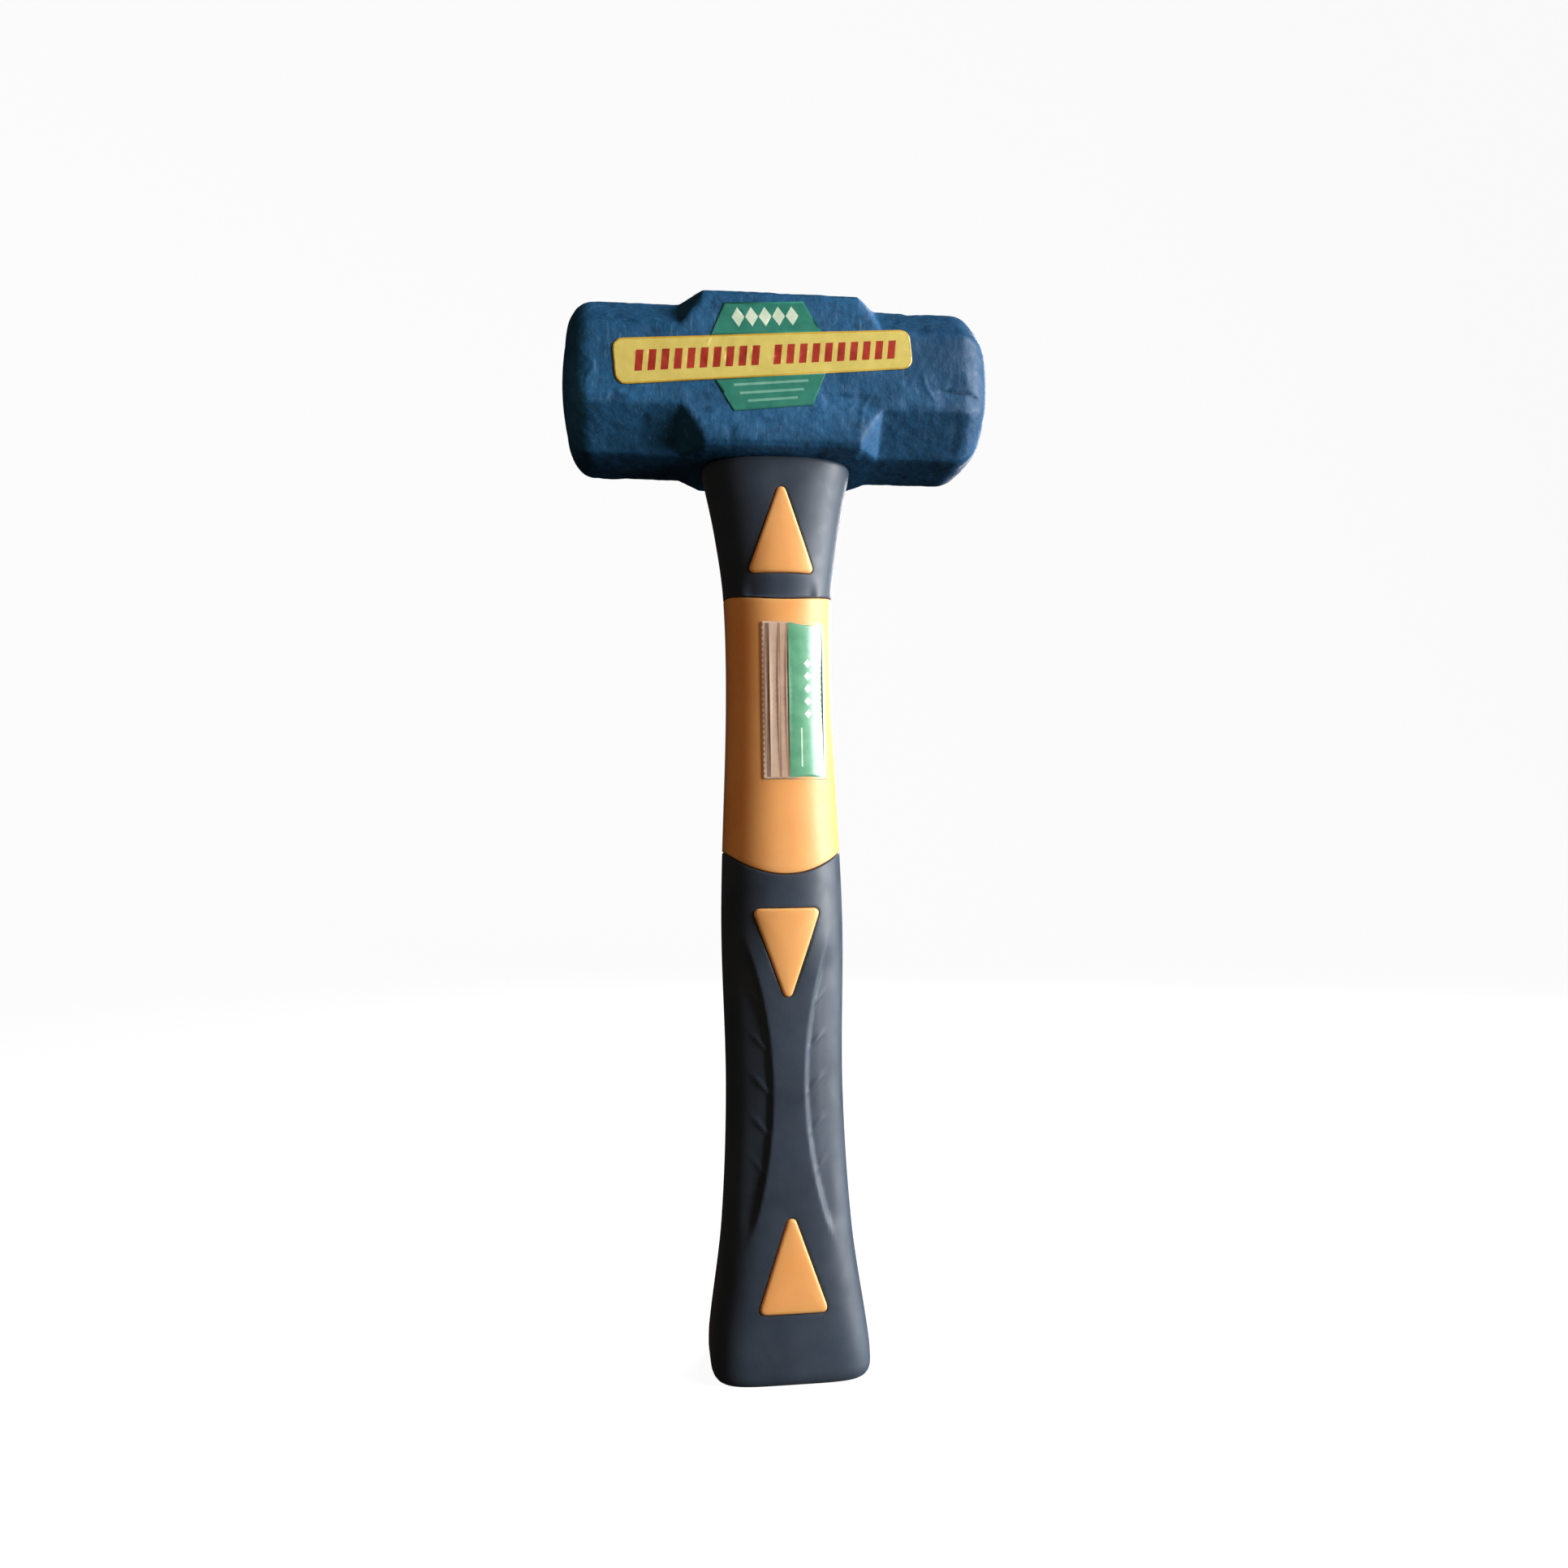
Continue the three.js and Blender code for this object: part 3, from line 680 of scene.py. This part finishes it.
def make_head(material):
    head = head_blank()
    cutter = eye_cutter()
    cut = head.modifiers.new("eye", "BOOLEAN")
    cut.object = cutter
    cut.solver = "EXACT"
    grain = head.modifiers.new("even_mesh", "REMESH")
    grain.mode = "VOXEL"
    grain.voxel_size = HEAD_GRAIN * MM
    soft = head.modifiers.new("worn_edges", "SMOOTH")
    soft.factor = 0.5
    soft.iterations = 3
    apply_modifiers(head)
    bpy.data.objects.remove(cutter)
    head.data.shade_smooth()
    roughen(head)
    return finish_piece(head, "head", "blue_painted_steel", material)


# ---- Rod, resin and seal ----


def make_rod(material):
    low, high = heights_of("core_rod")
    foot = [(low, -ROD_CHAMFER), (low + ROD_CHAMFER, 0)]
    top = [(high - 0.5, 0), (high - 0.15, -0.15), (high, -0.5)]
    rings = [rod_ring(z, grow) for z, grow in foot + top]
    piece = solid("fibreglass_rod", rings, (0, 0, low), (0, 0, high))
    return finish_piece(piece, "core_rod", "fibreglass", material)


def closed_tube(name, rings):
    """A closed tube whose outline runs through these rings and back to the first."""
    skin = Skin()
    first, last = skin.tube(rings)
    skin.join(last, first)
    return mesh_object(name, skin.points, skin.faces)


def make_resin(material):
    low, high = heights_of("eye_resin")
    levels = np.linspace(low, high, 8)
    rings = [eye_ring(z, -GAP) for z in levels]
    for share in (0.25, 0.5, 0.75):
        sagged = rod_ring(high - RESIN_SAG * math.sin(math.pi * share), GAP)
        rings.append(eye_ring(high, -GAP) * (1 - share) + sagged * share)
    rings += [rod_ring(z, GAP) for z in levels[::-1]]
    return finish_piece(closed_tube("eye_resin_fill", rings), "eye_resin", "resin", material)


def make_seal(material):
    low, high = heights_of("eye_seal")
    chamfer = 0.4
    outer = [eye_ring(low, -GAP - chamfer), eye_ring(low + chamfer, -GAP), eye_ring(high, -GAP)]
    inner = [rod_ring(high, GAP), rod_ring(low, GAP)]
    return finish_piece(closed_tube("rubber_seal", outer + inner), "eye_seal", "seal_rubber", material)


# ---- Pads ----


def triangle_outline(base, apex, count=96):
    """A rounded triangle in X and Z: evenly spaced points and their outward directions."""
    up = 1 if apex > base else -1
    low = np.array([PAD_HALF_WIDTH - PAD_CORNER, base + up * PAD_CORNER])
    tip = np.array([0, apex - up * PAD_CORNER])
    square = math.atan2(low[0], abs(tip[1] - low[1]))  # direction square to the sloping side
    arcs = [
        (low, -math.pi / 2, square),
        (tip, square, math.pi - square),
        (low * (-1, 1), math.pi - square, 1.5 * math.pi),
    ]
    points = []
    normals = []
    for centre, start, end in arcs:
        for turn in np.linspace(start, end, 24):
            normal = np.array([math.cos(turn), up * math.sin(turn)])
            points.append(centre + PAD_CORNER * normal)
            normals.append(normal)
    return resample(np.array(points), np.array(normals), count)


def resample(points, normals, count):
    """Evenly spaced points round a closed loop."""
    points = np.vstack([points, points[:1]])
    normals = np.vstack([normals, normals[:1]])
    steps = np.hypot(*np.diff(points, axis=0).T)
    travelled = np.concatenate([[0], np.cumsum(steps)])
    wanted = np.arange(count) * travelled[-1] / count
    even = [np.interp(wanted, travelled, column) for column in (*points.T, *normals.T)]
    normals = np.stack(even[2:], axis=1)
    return np.stack(even[:2], axis=1), normals / np.linalg.norm(normals, axis=1)[:, None]


def make_pad(name, base, apex, side, material):
    outline, normals = triangle_outline(base, apex)
    middle = outline.mean(axis=0)
    edge = [(0, SLEEVE_WALL), *PAD_EDGE]
    rings = [laid_on_handle(outline + grow * normals, side, depth) for grow, depth in edge]
    spread = outline + PAD_EDGE[-1][0] * normals - middle
    for share in np.linspace(0.9, 0.1, 9):
        rings.append(laid_on_handle(middle + spread * share, side, -PAD_PROUD - PAD_DOME * (1 - share**2)))
    root = laid_on_handle(middle[None], side, SLEEVE_WALL)[0]
    crown = laid_on_handle(middle[None], side, -PAD_PROUD - PAD_DOME)[0]
    return finish_piece(solid(name, rings, root, crown), "jacket", "orange_plastic", material)


# ---- Jacket ----


def make_jacket(material):
    core = SLEEVE_WALL + GAP
    lower = band_edge(BAND_BOTTOM, BAND_BOTTOM_DIP)
    upper = band_edge(BAND_TOP, BAND_TOP_DIP)
    bore_end = JACKET_LOW + JACKET_FLOOR
    rings = [on_handle(ANGLES, z, core) for z in np.linspace(JACKET_LOW, lower.min() - 1, 12)]
    rings.append(on_handle(ANGLES, lower, core))
    rings += [on_handle(ANGLES, lower + rise, depth) for rise, depth in BAND_LIP]
    lip_width = BAND_LIP[-1][0]
    for t in np.linspace(0, 1, 61)[1:-1]:
        rings.append(on_handle(ANGLES, lower + lip_width + (upper - lower - 2 * lip_width) * t))
    rings += [on_handle(ANGLES, upper - rise, depth) for rise, depth in BAND_LIP[::-1]]
    rings.append(on_handle(ANGLES, upper, core))
    rings += [on_handle(ANGLES, z, core) for z in np.linspace(upper.max() + 1, JACKET_HIGH, 4)]
    rings += [rod_ring(z, GAP) for z in np.linspace(JACKET_HIGH, bore_end, 12)]
    piece = solid("orange_jacket", rings, (0, 0, JACKET_LOW), (0, 0, bore_end))
    return finish_piece(piece, "jacket", "orange_plastic", material)


# ---- Rubber sleeves ----

UNROLL = (14, 1)  # millimetres per radian and per millimetre of height, where the skin is laid flat
WALL_STEPS = [*LIP[1:], (0, SLEEVE_WALL)]  # from a lip's edge to the inner skin
STITCH_WIDTH = 0.35  # least distance from a window's rim to the nearest grid point


def inside(points, starts, ends):
    """Which points lie inside the closed edges starts -> ends."""
    count = np.zeros(len(points), int)
    for (ax, ay), (bx, by) in zip(starts, ends):
        if ay == by:
            continue
        crosses = (points[:, 1] > min(ay, by)) & (points[:, 1] <= max(ay, by))
        reach = ax + (points[:, 1] - ay) / (by - ay) * (bx - ax)
        count += crosses & (points[:, 0] < reach)
    return count % 2 == 1


def windowed_skin(heights, windows):
    """A grid over the handle, rows by columns of heights, with holes for the windows.

    Gives the angle and height of each point, the faces, and the loop of point numbers round each window.
    """
    rows = len(heights)
    angles = np.tile(ANGLES, (rows, 1))
    index = np.arange(rows * COLUMNS).reshape(rows, COLUMNS)
    params = list(np.stack([angles.ravel(), heights.ravel()], axis=1))
    grid = np.array(params) * UNROLL
    kept = np.ones((rows - 1, COLUMNS), bool)
    faces = []
    loops = []
    for outline, normals, side in windows:
        rim = angle_and_height(outline + LIP[0][0] * normals, side)
        wide = angle_and_height(outline + (LIP[0][0] + STITCH_WIDTH) * normals, side) * UNROLL
        hit = inside(grid, wide, np.roll(wide, -1, axis=0)).reshape(rows, COLUMNS)
        hit = hit | np.roll(hit, -1, axis=1)
        opened = hit[:-1] | hit[1:]
        kept &= ~opened
        loop = np.arange(len(params), len(params) + len(rim))
        loops.append(loop)
        params.extend(rim)
        faces += stitched(opened, index, grid, rim * UNROLL, loop)
    for i, j in zip(*np.nonzero(kept)):
        following = (j + 1) % COLUMNS
        faces.append((index[i, j], index[i, following], index[i + 1, following], index[i + 1, j]))
    return np.array(params), faces, loops


def border_edges(opened, index):
    """Edges that only one of the opened cells has."""
    uses = {}
    for i, j in zip(*np.nonzero(opened)):
        right = (j + 1) % COLUMNS
        corners = [index[i, j], index[i, right], index[i + 1, right], index[i + 1, j]]
        for a, b in zip(corners, corners[1:] + corners[:1]):
            key = (min(a, b), max(a, b))
            uses[key] = uses.get(key, 0) + 1
    return [key for key, count in uses.items() if count == 1]


def stitched(opened, index, grid, rim, loop):
    """Triangles that fill the space between the opened cells' border and the window's rim."""
    edges = border_edges(opened, index)
    outer = sorted({corner for edge in edges for corner in edge})
    numbers = [*outer, *loop]
    flat = np.vstack([grid[outer], rim])
    position = {number: k for k, number in enumerate(numbers)}
    lines = [(position[a], position[b]) for a, b in edges]
    lines += [(position[a], position[b]) for a, b in zip(loop, np.roll(loop, -1))]
    result = delaunay_2d_cdt([Vector(point) for point in flat], lines, [], 0, 1e-6)
    vertices, triangles, origins = result[0], result[2], result[3]
    middles = np.array([np.mean([vertices[k] for k in triangle], axis=0) for triangle in triangles])
    starts = np.array([flat[position[a]] for a, b in edges])
    ends = np.array([flat[position[b]] for a, b in edges])
    wanted = inside(middles, starts, ends) & ~inside(middles, rim, np.roll(rim, -1, axis=0))
    return [tuple(numbers[origins[k][0]] for k in triangles[t]) for t in np.nonzero(wanted)[0]]


def sleeve_windows(name):
    windows = []
    for base, apex in PADS[name]:
        outline, normals = triangle_outline(base, apex)
        for side in (-1, 1):
            windows.append((outline + WINDOW_GAP * normals, normals, side))
    return windows


def sleeve_skin(heights, windows, relief, inner_height):
    """Outer and inner skins of a sleeve, joined round its windows. Gives the skin and both index grids."""
    params, faces, loops = windowed_skin(heights, windows)
    angle, z = params.T
    skin = Skin()
    outer = skin.add(on_handle(angle, z, relief(angle, z)))
    inner = skin.add(on_handle(angle, inner_height(z), SLEEVE_WALL))
    skin.faces += faces
    skin.faces += [tuple(inner[corner] for corner in face) for face in faces]
    for (outline, normals, side), loop in zip(windows, loops):
        walls = [laid_on_handle(outline + grow * normals, side, depth) for grow, depth in WALL_STEPS]
        skin.join(skin.carry_on(outer[loop], walls), inner[loop])
    shape = heights.shape
    grid = np.arange(heights.size).reshape(shape)
    return skin, outer[grid.ravel()].reshape(shape), inner[grid.ravel()].reshape(shape)


def close_band_edge(skin, edge, toward_band, outer_row, inner_row):
    """Rounds the edge that meets the orange band and joins the two skins there."""
    walls = [on_handle(ANGLES, edge - toward_band * rise, depth) for rise, depth in WALL_STEPS]
    skin.join(skin.carry_on(outer_row, walls), inner_row)


def grid_heights(lower, upper, pitch=0.8):
    rows = int(round((np.max(upper) - np.min(lower)) / pitch))
    t = np.linspace(0, 1, rows + 1)[:, None]
    return lower + t * (upper - lower)


def grip_relief(angle, z):
    """How far the grip sinks below the handle's outside.

    A flat hourglass stays in the middle. The panels beside it are stepped down, with slanting ribs.
    """
    points = on_handle(angle, z)
    x = np.abs(points[:, 0])
    along = np.abs(z - PANEL_MIDDLE) / PANEL_REACH
    crease = PANEL_WAIST + PANEL_FLARE * along**2
    past = smooth_step((x - crease) / PANEL_STEP)
    ends = 1 - smooth_step((along - PANEL_END) / PANEL_END_FADE)
    side = smooth_step((PANEL_SIDE - x) / PANEL_SIDE_FADE)
    curl = RIB_CURL * np.exp(-(x - crease) / RIB_CURL_REACH)
    rib = np.zeros_like(z)
    for i in range(RIB_COUNT):
        offset = z - (RIB_LOWEST + i * RIB_PITCH + RIB_SLOPE * x + curl)
        rib = np.maximum(rib, np.exp(-((offset / RIB_WIDTH) ** 2)))
    rib = rib * past * smooth_step((RIB_END - x) / RIB_END_FADE)
    flat = (1 - past) * (1 - smooth_step((along - FLAT_END) / FLAT_END_FADE)) * FLATNESS
    drop = station_curve(2, z) - np.abs(points[:, 1])
    return PANEL_DEPTH * past * ends * side * (1 - RIB_HEIGHT * rib) - flat * np.where(x < FLAT_SIDE, drop, 0)


def butt_ring(turn):
    """A ring of the rounded lower edge, at this angle up from the foot."""
    shrink = 1 - math.sin(turn)
    z = BUTT_HEIGHT * (1 - math.cos(turn))
    half_width = station_curve(1, z) - BUTT_WIDTH * shrink
    half_depth = station_curve(2, z) - BUTT_DEPTH * shrink
    return oval(half_width, half_depth, station_curve(3, z), ANGLES, z)


def dished(rim, share):
    """The butt's rim drawn in to this share of its size, on the hollow inside it."""
    return rim * (share, share, 1) + (0, 0, BUTT_DISH * smooth_step((1 - share) / BUTT_DISH_FADE))


def make_grip(material):
    edge = band_edge(BAND_BOTTOM, BAND_BOTTOM_DIP) - GAP
    floor_height = JACKET_LOW - GAP
    heights = grid_heights(np.full(COLUMNS, BUTT_HEIGHT), edge - LIP[0][0])

    def inner_height(z):
        share = (z - BUTT_HEIGHT) / (INNER_BUTT - BUTT_HEIGHT)
        return np.where(z < INNER_BUTT, floor_height + share * (INNER_BUTT - floor_height), z)

    skin, outer, inner = sleeve_skin(heights, sleeve_windows("grip"), grip_relief, inner_height)
    close_band_edge(skin, edge, 1, outer[-1], inner[-1])
    edge_rings = [butt_ring(turn) for turn in np.radians((70, 50, 30, 15, 0))]
    dish_rings = [dished(edge_rings[-1], share) for share in (0.93, 0.8, 0.6, 0.4, 0.2)]
    skin.cap(skin.carry_on(outer[0], edge_rings + dish_rings), (0, 0, BUTT_DISH))
    floor = on_handle(ANGLES, floor_height, SLEEVE_WALL)
    floor_rings = [floor * (share, share, 1) for share in (0.75, 0.5, 0.25)]
    skin.cap(skin.carry_on(inner[0], floor_rings), (0, 0, floor_height))
    piece = mesh_object("grip_rubber", skin.points, skin.faces)
    return finish_piece(piece, "grip_sleeve", "black_rubber", material)


def neck_relief(angle, z):
    """A ramp below each pad, down to the orange band."""
    x = np.abs(on_handle(angle, z)[:, 0])
    base = PADS["neck"][0][0]
    fall = smooth_step((base - z) / (base - BAND_TOP + BAND_TOP_DIP))
    return NOTCH_DEPTH * fall * (1 - smooth_step((x - NOTCH_HALF_WIDTH) / NOTCH_FADE))


def make_neck(material):
    edge = band_edge(BAND_TOP, BAND_TOP_DIP) + GAP
    ceiling = JACKET_HIGH + GAP
    shoulder = NECK_TOP - NECK_LIP[-1][0]
    heights = grid_heights(edge + LIP[0][0], np.full(COLUMNS, shoulder))

    def inner_height(z):
        share = (z - INNER_NECK) / (shoulder - INNER_NECK)
        return np.where(z > INNER_NECK, INNER_NECK + share * (ceiling - INNER_NECK), z)

    skin, outer, inner = sleeve_skin(heights, sleeve_windows("neck"), neck_relief, inner_height)
    close_band_edge(skin, edge, -1, outer[0], inner[0])
    lip = [on_handle(ANGLES, shoulder + rise, depth) for rise, depth in NECK_LIP]
    bore = rod_ring(NECK_TOP, GAP)
    top = [lip[-1] * 0.6 + bore * 0.4, bore, rod_ring(ceiling, GAP)]
    skin.join(skin.carry_on(outer[-1], lip + top), inner[-1])
    piece = mesh_object("neck_rubber", skin.points, skin.faces)
    return finish_piece(piece, "neck_sleeve", "black_rubber", material)


# ---- Stickers ----


def rectangle(left, bottom, right, top, slant=0.0):
    rise = slant * (top - bottom)
    return np.array([(left, bottom), (right, bottom), (right + rise, top), (left + rise, top)])


def rounded_rectangle(left, bottom, right, top, corner):
    centres = [(right - corner, top - corner), (left + corner, top - corner)]
    centres += [(left + corner, bottom + corner), (right - corner, bottom + corner)]
    points = []
    for quarter, centre in enumerate(centres):
        for turn in np.radians(np.linspace(0, 90, 7)) + quarter * math.pi / 2:
            points.append((centre[0] + corner * math.cos(turn), centre[1] + corner * math.sin(turn)))
    return np.array(points)


def diamond(x, z, size):
    half_width, half_height = size["half_width"], size["half_height"]
    return np.array([(x - half_width, z), (x, z - half_height), (x + half_width, z), (x, z + half_height)])


def printed_sheet(shapes, spacing=0.9):
    """Flat points, triangles and their inks. A shape flagged True adds to the sheet, others print on it."""
    outlines = [shape for shape, _, _ in shapes]
    corners = np.vstack(outlines)
    low, high = corners.min(axis=0), corners.max(axis=0)
    across = np.arange(low[0], high[0], spacing)
    along = np.arange(low[1], high[1], spacing * 0.87)
    fill = [(x + (row % 2) * spacing / 2, z) for row, z in enumerate(along) for x in across]
    points = [*map(tuple, corners), *fill]
    lines = []
    start = 0
    for outline in outlines:
        numbers = np.arange(start, start + len(outline))
        lines += list(zip(numbers.tolist(), np.roll(numbers, -1).tolist()))
        start += len(outline)
    result = delaunay_2d_cdt([Vector(point) for point in points], lines, [], 0, 1e-4)
    vertices = np.array([tuple(vertex) for vertex in result[0]])
    triangles = np.array([tuple(face) for face in result[2]])
    middles = vertices[triangles].mean(axis=1)
    colour = np.full(len(triangles), -1)
    for outline, material, is_sheet in shapes:
        within = inside(middles, outline, np.roll(outline, -1, axis=0))
        if not is_sheet:
            within &= colour >= 0
        colour[within] = material
    triangles = triangles[colour >= 0]
    colour = colour[colour >= 0]
    used = np.unique(triangles)
    renumber = np.full(len(vertices), -1)
    renumber[used] = np.arange(len(used))
    return vertices[used], renumber[triangles], colour


def sticker(name, shapes, lay, thickness, lift):
    """A thin sheet of printed shapes, whose points are put in place by lay(points, lift)."""
    flat, triangles, colour = printed_sheet(shapes)
    points = np.vstack([lay(flat, lift + thickness), lay(flat, lift)])
    under = triangles[:, ::-1] + len(flat)
    edges = dict.fromkeys((a, b) for triangle in triangles for a, b in zip(triangle, np.roll(triangle, -1)))
    rim = [(a, b) for a, b in edges if (b, a) not in edges]
    sides = [(b, a, a + len(flat), b + len(flat)) for a, b in rim]
    side_colour = [shapes[0][1]] * len(sides)
    faces = [*map(tuple, triangles), *map(tuple, under), *sides]
    piece = mesh_object(name, points, faces)
    piece.data.polygons.foreach_set("material_index", [*colour, *colour, *side_colour])
    return piece


def drop_onto(head):
    """How the head's sticker is laid: turned, tapered and dropped onto the forged surface from the front.

    The surface is rough, so a point goes to the foremost of nine places round it and no lump pokes through.
    """
    surface = BVHTree.FromObject(head, bpy.context.evaluated_depsgraph_get())
    middle = np.array([BADGE["x"], BADGE["z"]])
    tilt_cos, tilt_sin = math.cos(STICKER_TILT), math.sin(STICKER_TILT)
    turn = np.array([[tilt_cos, tilt_sin], [-tilt_sin, tilt_cos]])
    near = (-0.8, 0, 0.8)
    around = [(x, z) for x in near for z in near]
    in_front = -60

    def depth_at(x, z):
        return surface.ray_cast(Vector((x, in_front, z)) * MM, Vector((0, 1, 0)))[0].y / MM

    def lay(flat, lift):
        flat = flat * np.stack([np.ones(len(flat)), 1 - BANNER["taper"] * flat[:, 0]], axis=1)
        flat = flat @ turn + middle
        depths = [np.min([depth_at(x + dx, z + dz) for dx, dz in around]) for x, z in flat]
        return np.stack([flat[:, 0], np.array(depths) - lift, flat[:, 1]], axis=1)

    return lay


def make_head_sticker(head, inks):
    """A green hexagon with a yellow banner across it and plain red and white ornament."""
    green, yellow, red, white, gold, pale = range(6)
    half_edge, half_width, half_height = BADGE["edge"] / 2, BADGE["width"] / 2, BADGE["height"] / 2
    right = [(half_edge, -half_height), (half_width, 0), (half_edge, half_height)]
    hexagon = np.array([*right, *[(-x, -z) for x, z in right]])
    shapes = [(hexagon, green, True)]
    slide = (BANNER["x"] - BADGE["x"], 0)
    for border, colour in ((0, gold), (BANNER["border"], yellow)):
        reach = BANNER["length"] / 2 - border
        tall = BANNER["height"] / 2 - border
        outline = rounded_rectangle(-reach, -tall, reach, tall, BANNER["corner"] - border)
        shapes.append((slide + outline, colour, border == 0))
    tall = BARS["half_height"]
    for start, end in zip(BARS["starts"], BARS["ends"]):
        for x in np.arange(start, end, BARS["pitch"]):
            shapes.append((rectangle(x, -tall, x + BARS["width"], tall, BARS["slant"]), red, False))
    for x in np.linspace(-BADGE_DIAMONDS["reach"], BADGE_DIAMONDS["reach"], BADGE_DIAMONDS["count"]):
        shapes.append((diamond(x, BADGE_DIAMONDS["z"], BADGE_DIAMONDS), white, False))
    for z, reach in BADGE_LINES:
        shapes.append((rectangle(-reach, z - BADGE_LINE_HALF, reach, z + BADGE_LINE_HALF), pale, False))
    piece = sticker("head_sticker", shapes, drop_onto(head), thickness=0.12, lift=0.05)
    return finish_piece(piece, "head_label", "head_decal", *inks)


def make_handle_sticker(inks):
    """A film with plain lines on its left and a green panel on its right."""

    def lay(flat, lift):
        return laid_on_handle(flat, -1, -lift)

    clear, green, dark, white = range(4)
    left, right, bottom, top = (TAG[side] for side in ("left", "right", "bottom", "top"))
    shapes = [(rounded_rectangle(left, bottom, right, top, TAG["corner"]), clear, True)]
    inset = TAG_GREEN["inset"]
    panel = rectangle(left + TAG_GREEN["x"], bottom + inset, right - TAG_GREEN["right_inset"], top - inset)
    shapes.append((panel, green, False))
    inset = TAG_LINE_INSET
    for x, width in TAG_LINES:
        shapes.append((rectangle(left + x, bottom + inset, left + x + width, top - inset), dark, False))
    for z in np.linspace(TAG_DIAMONDS["bottom"], TAG_DIAMONDS["top"], TAG_DIAMONDS["count"]):
        shapes.append((diamond(left + TAG_DIAMONDS["x"], z, TAG_DIAMONDS), white, False))
    x = left + TAG_RULE["x"]
    shapes.append((rectangle(x, TAG_RULE["bottom"], x + TAG_RULE["width"], TAG_RULE["top"]), white, False))
    piece = sticker("handle_sticker", shapes, lay, thickness=0.1, lift=0.08)
    return finish_piece(piece, "handle_label", "film_decal", *inks)


# ---- Stage and lights, in metres ----

STAGE_RADIUS = 1.3
STAGE_CURVE = 0.9
STAGE_HEIGHT = 3.0
LIT_POINT = (0, 0, 0.17)


def make_stage():
    """A round floor that sweeps up into a plain wall. Only the camera sees it, so it adds no light."""
    profile = [(STAGE_RADIUS / 4, 0), (STAGE_RADIUS / 2, 0), (STAGE_RADIUS, 0)]
    for degrees in range(10, 91, 10):
        turn = math.radians(degrees)
        profile.append((STAGE_RADIUS + STAGE_CURVE * math.sin(turn), STAGE_CURVE * (1 - math.cos(turn))))
    profile.append((STAGE_RADIUS + STAGE_CURVE, STAGE_HEIGHT))
    turns = np.radians(np.arange(0, 360, 5))
    circle = np.stack([np.cos(turns), np.sin(turns)], axis=1)
    rings = [np.column_stack([circle * radius, np.full(len(circle), z)]) for radius, z in profile]
    skin = Skin()
    first, _ = skin.tube([ring / MM for ring in rings])
    skin.cap(first, (0, 0, 0))
    stage = mesh_object("floor", skin.points, skin.faces)
    plain = Surface("floor", Roughness=0.8, Emission_Strength=0.95)
    plain.set("Base Color", (0.08, 0.08, 0.08, 1))
    plain.set("Emission Color", (1, 1, 1, 1))
    stage.data.materials.append(plain.material)
    stage.visible_diffuse = False
    stage.visible_glossy = False


def make_light(name, place, size, power, colour=(1, 1, 1), mirrored=True):
    """A soft rectangular light aimed at the hammer. One that isn't mirrored leaves no reflection."""
    lamp = bpy.data.lights.new(name, "AREA")
    lamp.shape = "RECTANGLE"
    lamp.size, lamp.size_y = size
    lamp.energy = power
    lamp.color = colour
    light = bpy.data.objects.new(name, lamp)
    bpy.context.scene.collection.objects.link(light)
    light.location = place
    light.rotation_euler = (Vector(LIT_POINT) - Vector(place)).to_track_quat("-Z", "Y").to_euler()
    light.visible_camera = False
    light.visible_glossy = mirrored


def make_world(brightness):
    world = bpy.data.worlds.new("studio")
    world.use_nodes = True
    world.node_tree.nodes["Background"].inputs["Color"].default_value = (*brightness, 1)
    bpy.context.scene.world = world


def light_the_set():
    make_light("key", (0.82, -0.365, 0.38), (0.5, 0.9), 24.5)
    make_light("side", (0.9, 0.12, 0.15), (0.3, 0.8), 4.5, colour=(0.86, 0.93, 1))
    make_light("back", (0.4, 0.75, 0.55), (0.5, 0.5), 8)
    make_light("warm_fill", (-0.45, -0.7, 0.25), (0.3, 0.5), 1.3, colour=(1, 0.6, 0.35), mirrored=False)
    make_world((0.012, 0.013, 0.014))
    bpy.context.scene.view_settings.view_transform = "Standard"


# ---- Assembly ----


def main():
    make_camera()
    light_the_set()
    make_stage()
    rubber = black_rubber()
    orange = orange_plastic()
    head = make_head(blue_paint())
    make_rod(fibreglass())
    make_resin(resin())
    make_seal(black_rubber("seal_rubber"))
    make_jacket(orange)
    for sleeve, pads in PADS.items():
        for number, (base, apex) in enumerate(pads, 1):
            for side, label in ((-1, "front"), (1, "back")):
                make_pad(f"{sleeve}_pad_{number}_{label}", base, apex, side, orange)
    make_neck(rubber)
    make_grip(rubber)
    make_head_sticker(head, make_inks(HEAD_INKS, coat=0.15))
    make_handle_sticker(make_inks(FILM_INKS, coat=0.5))


main()
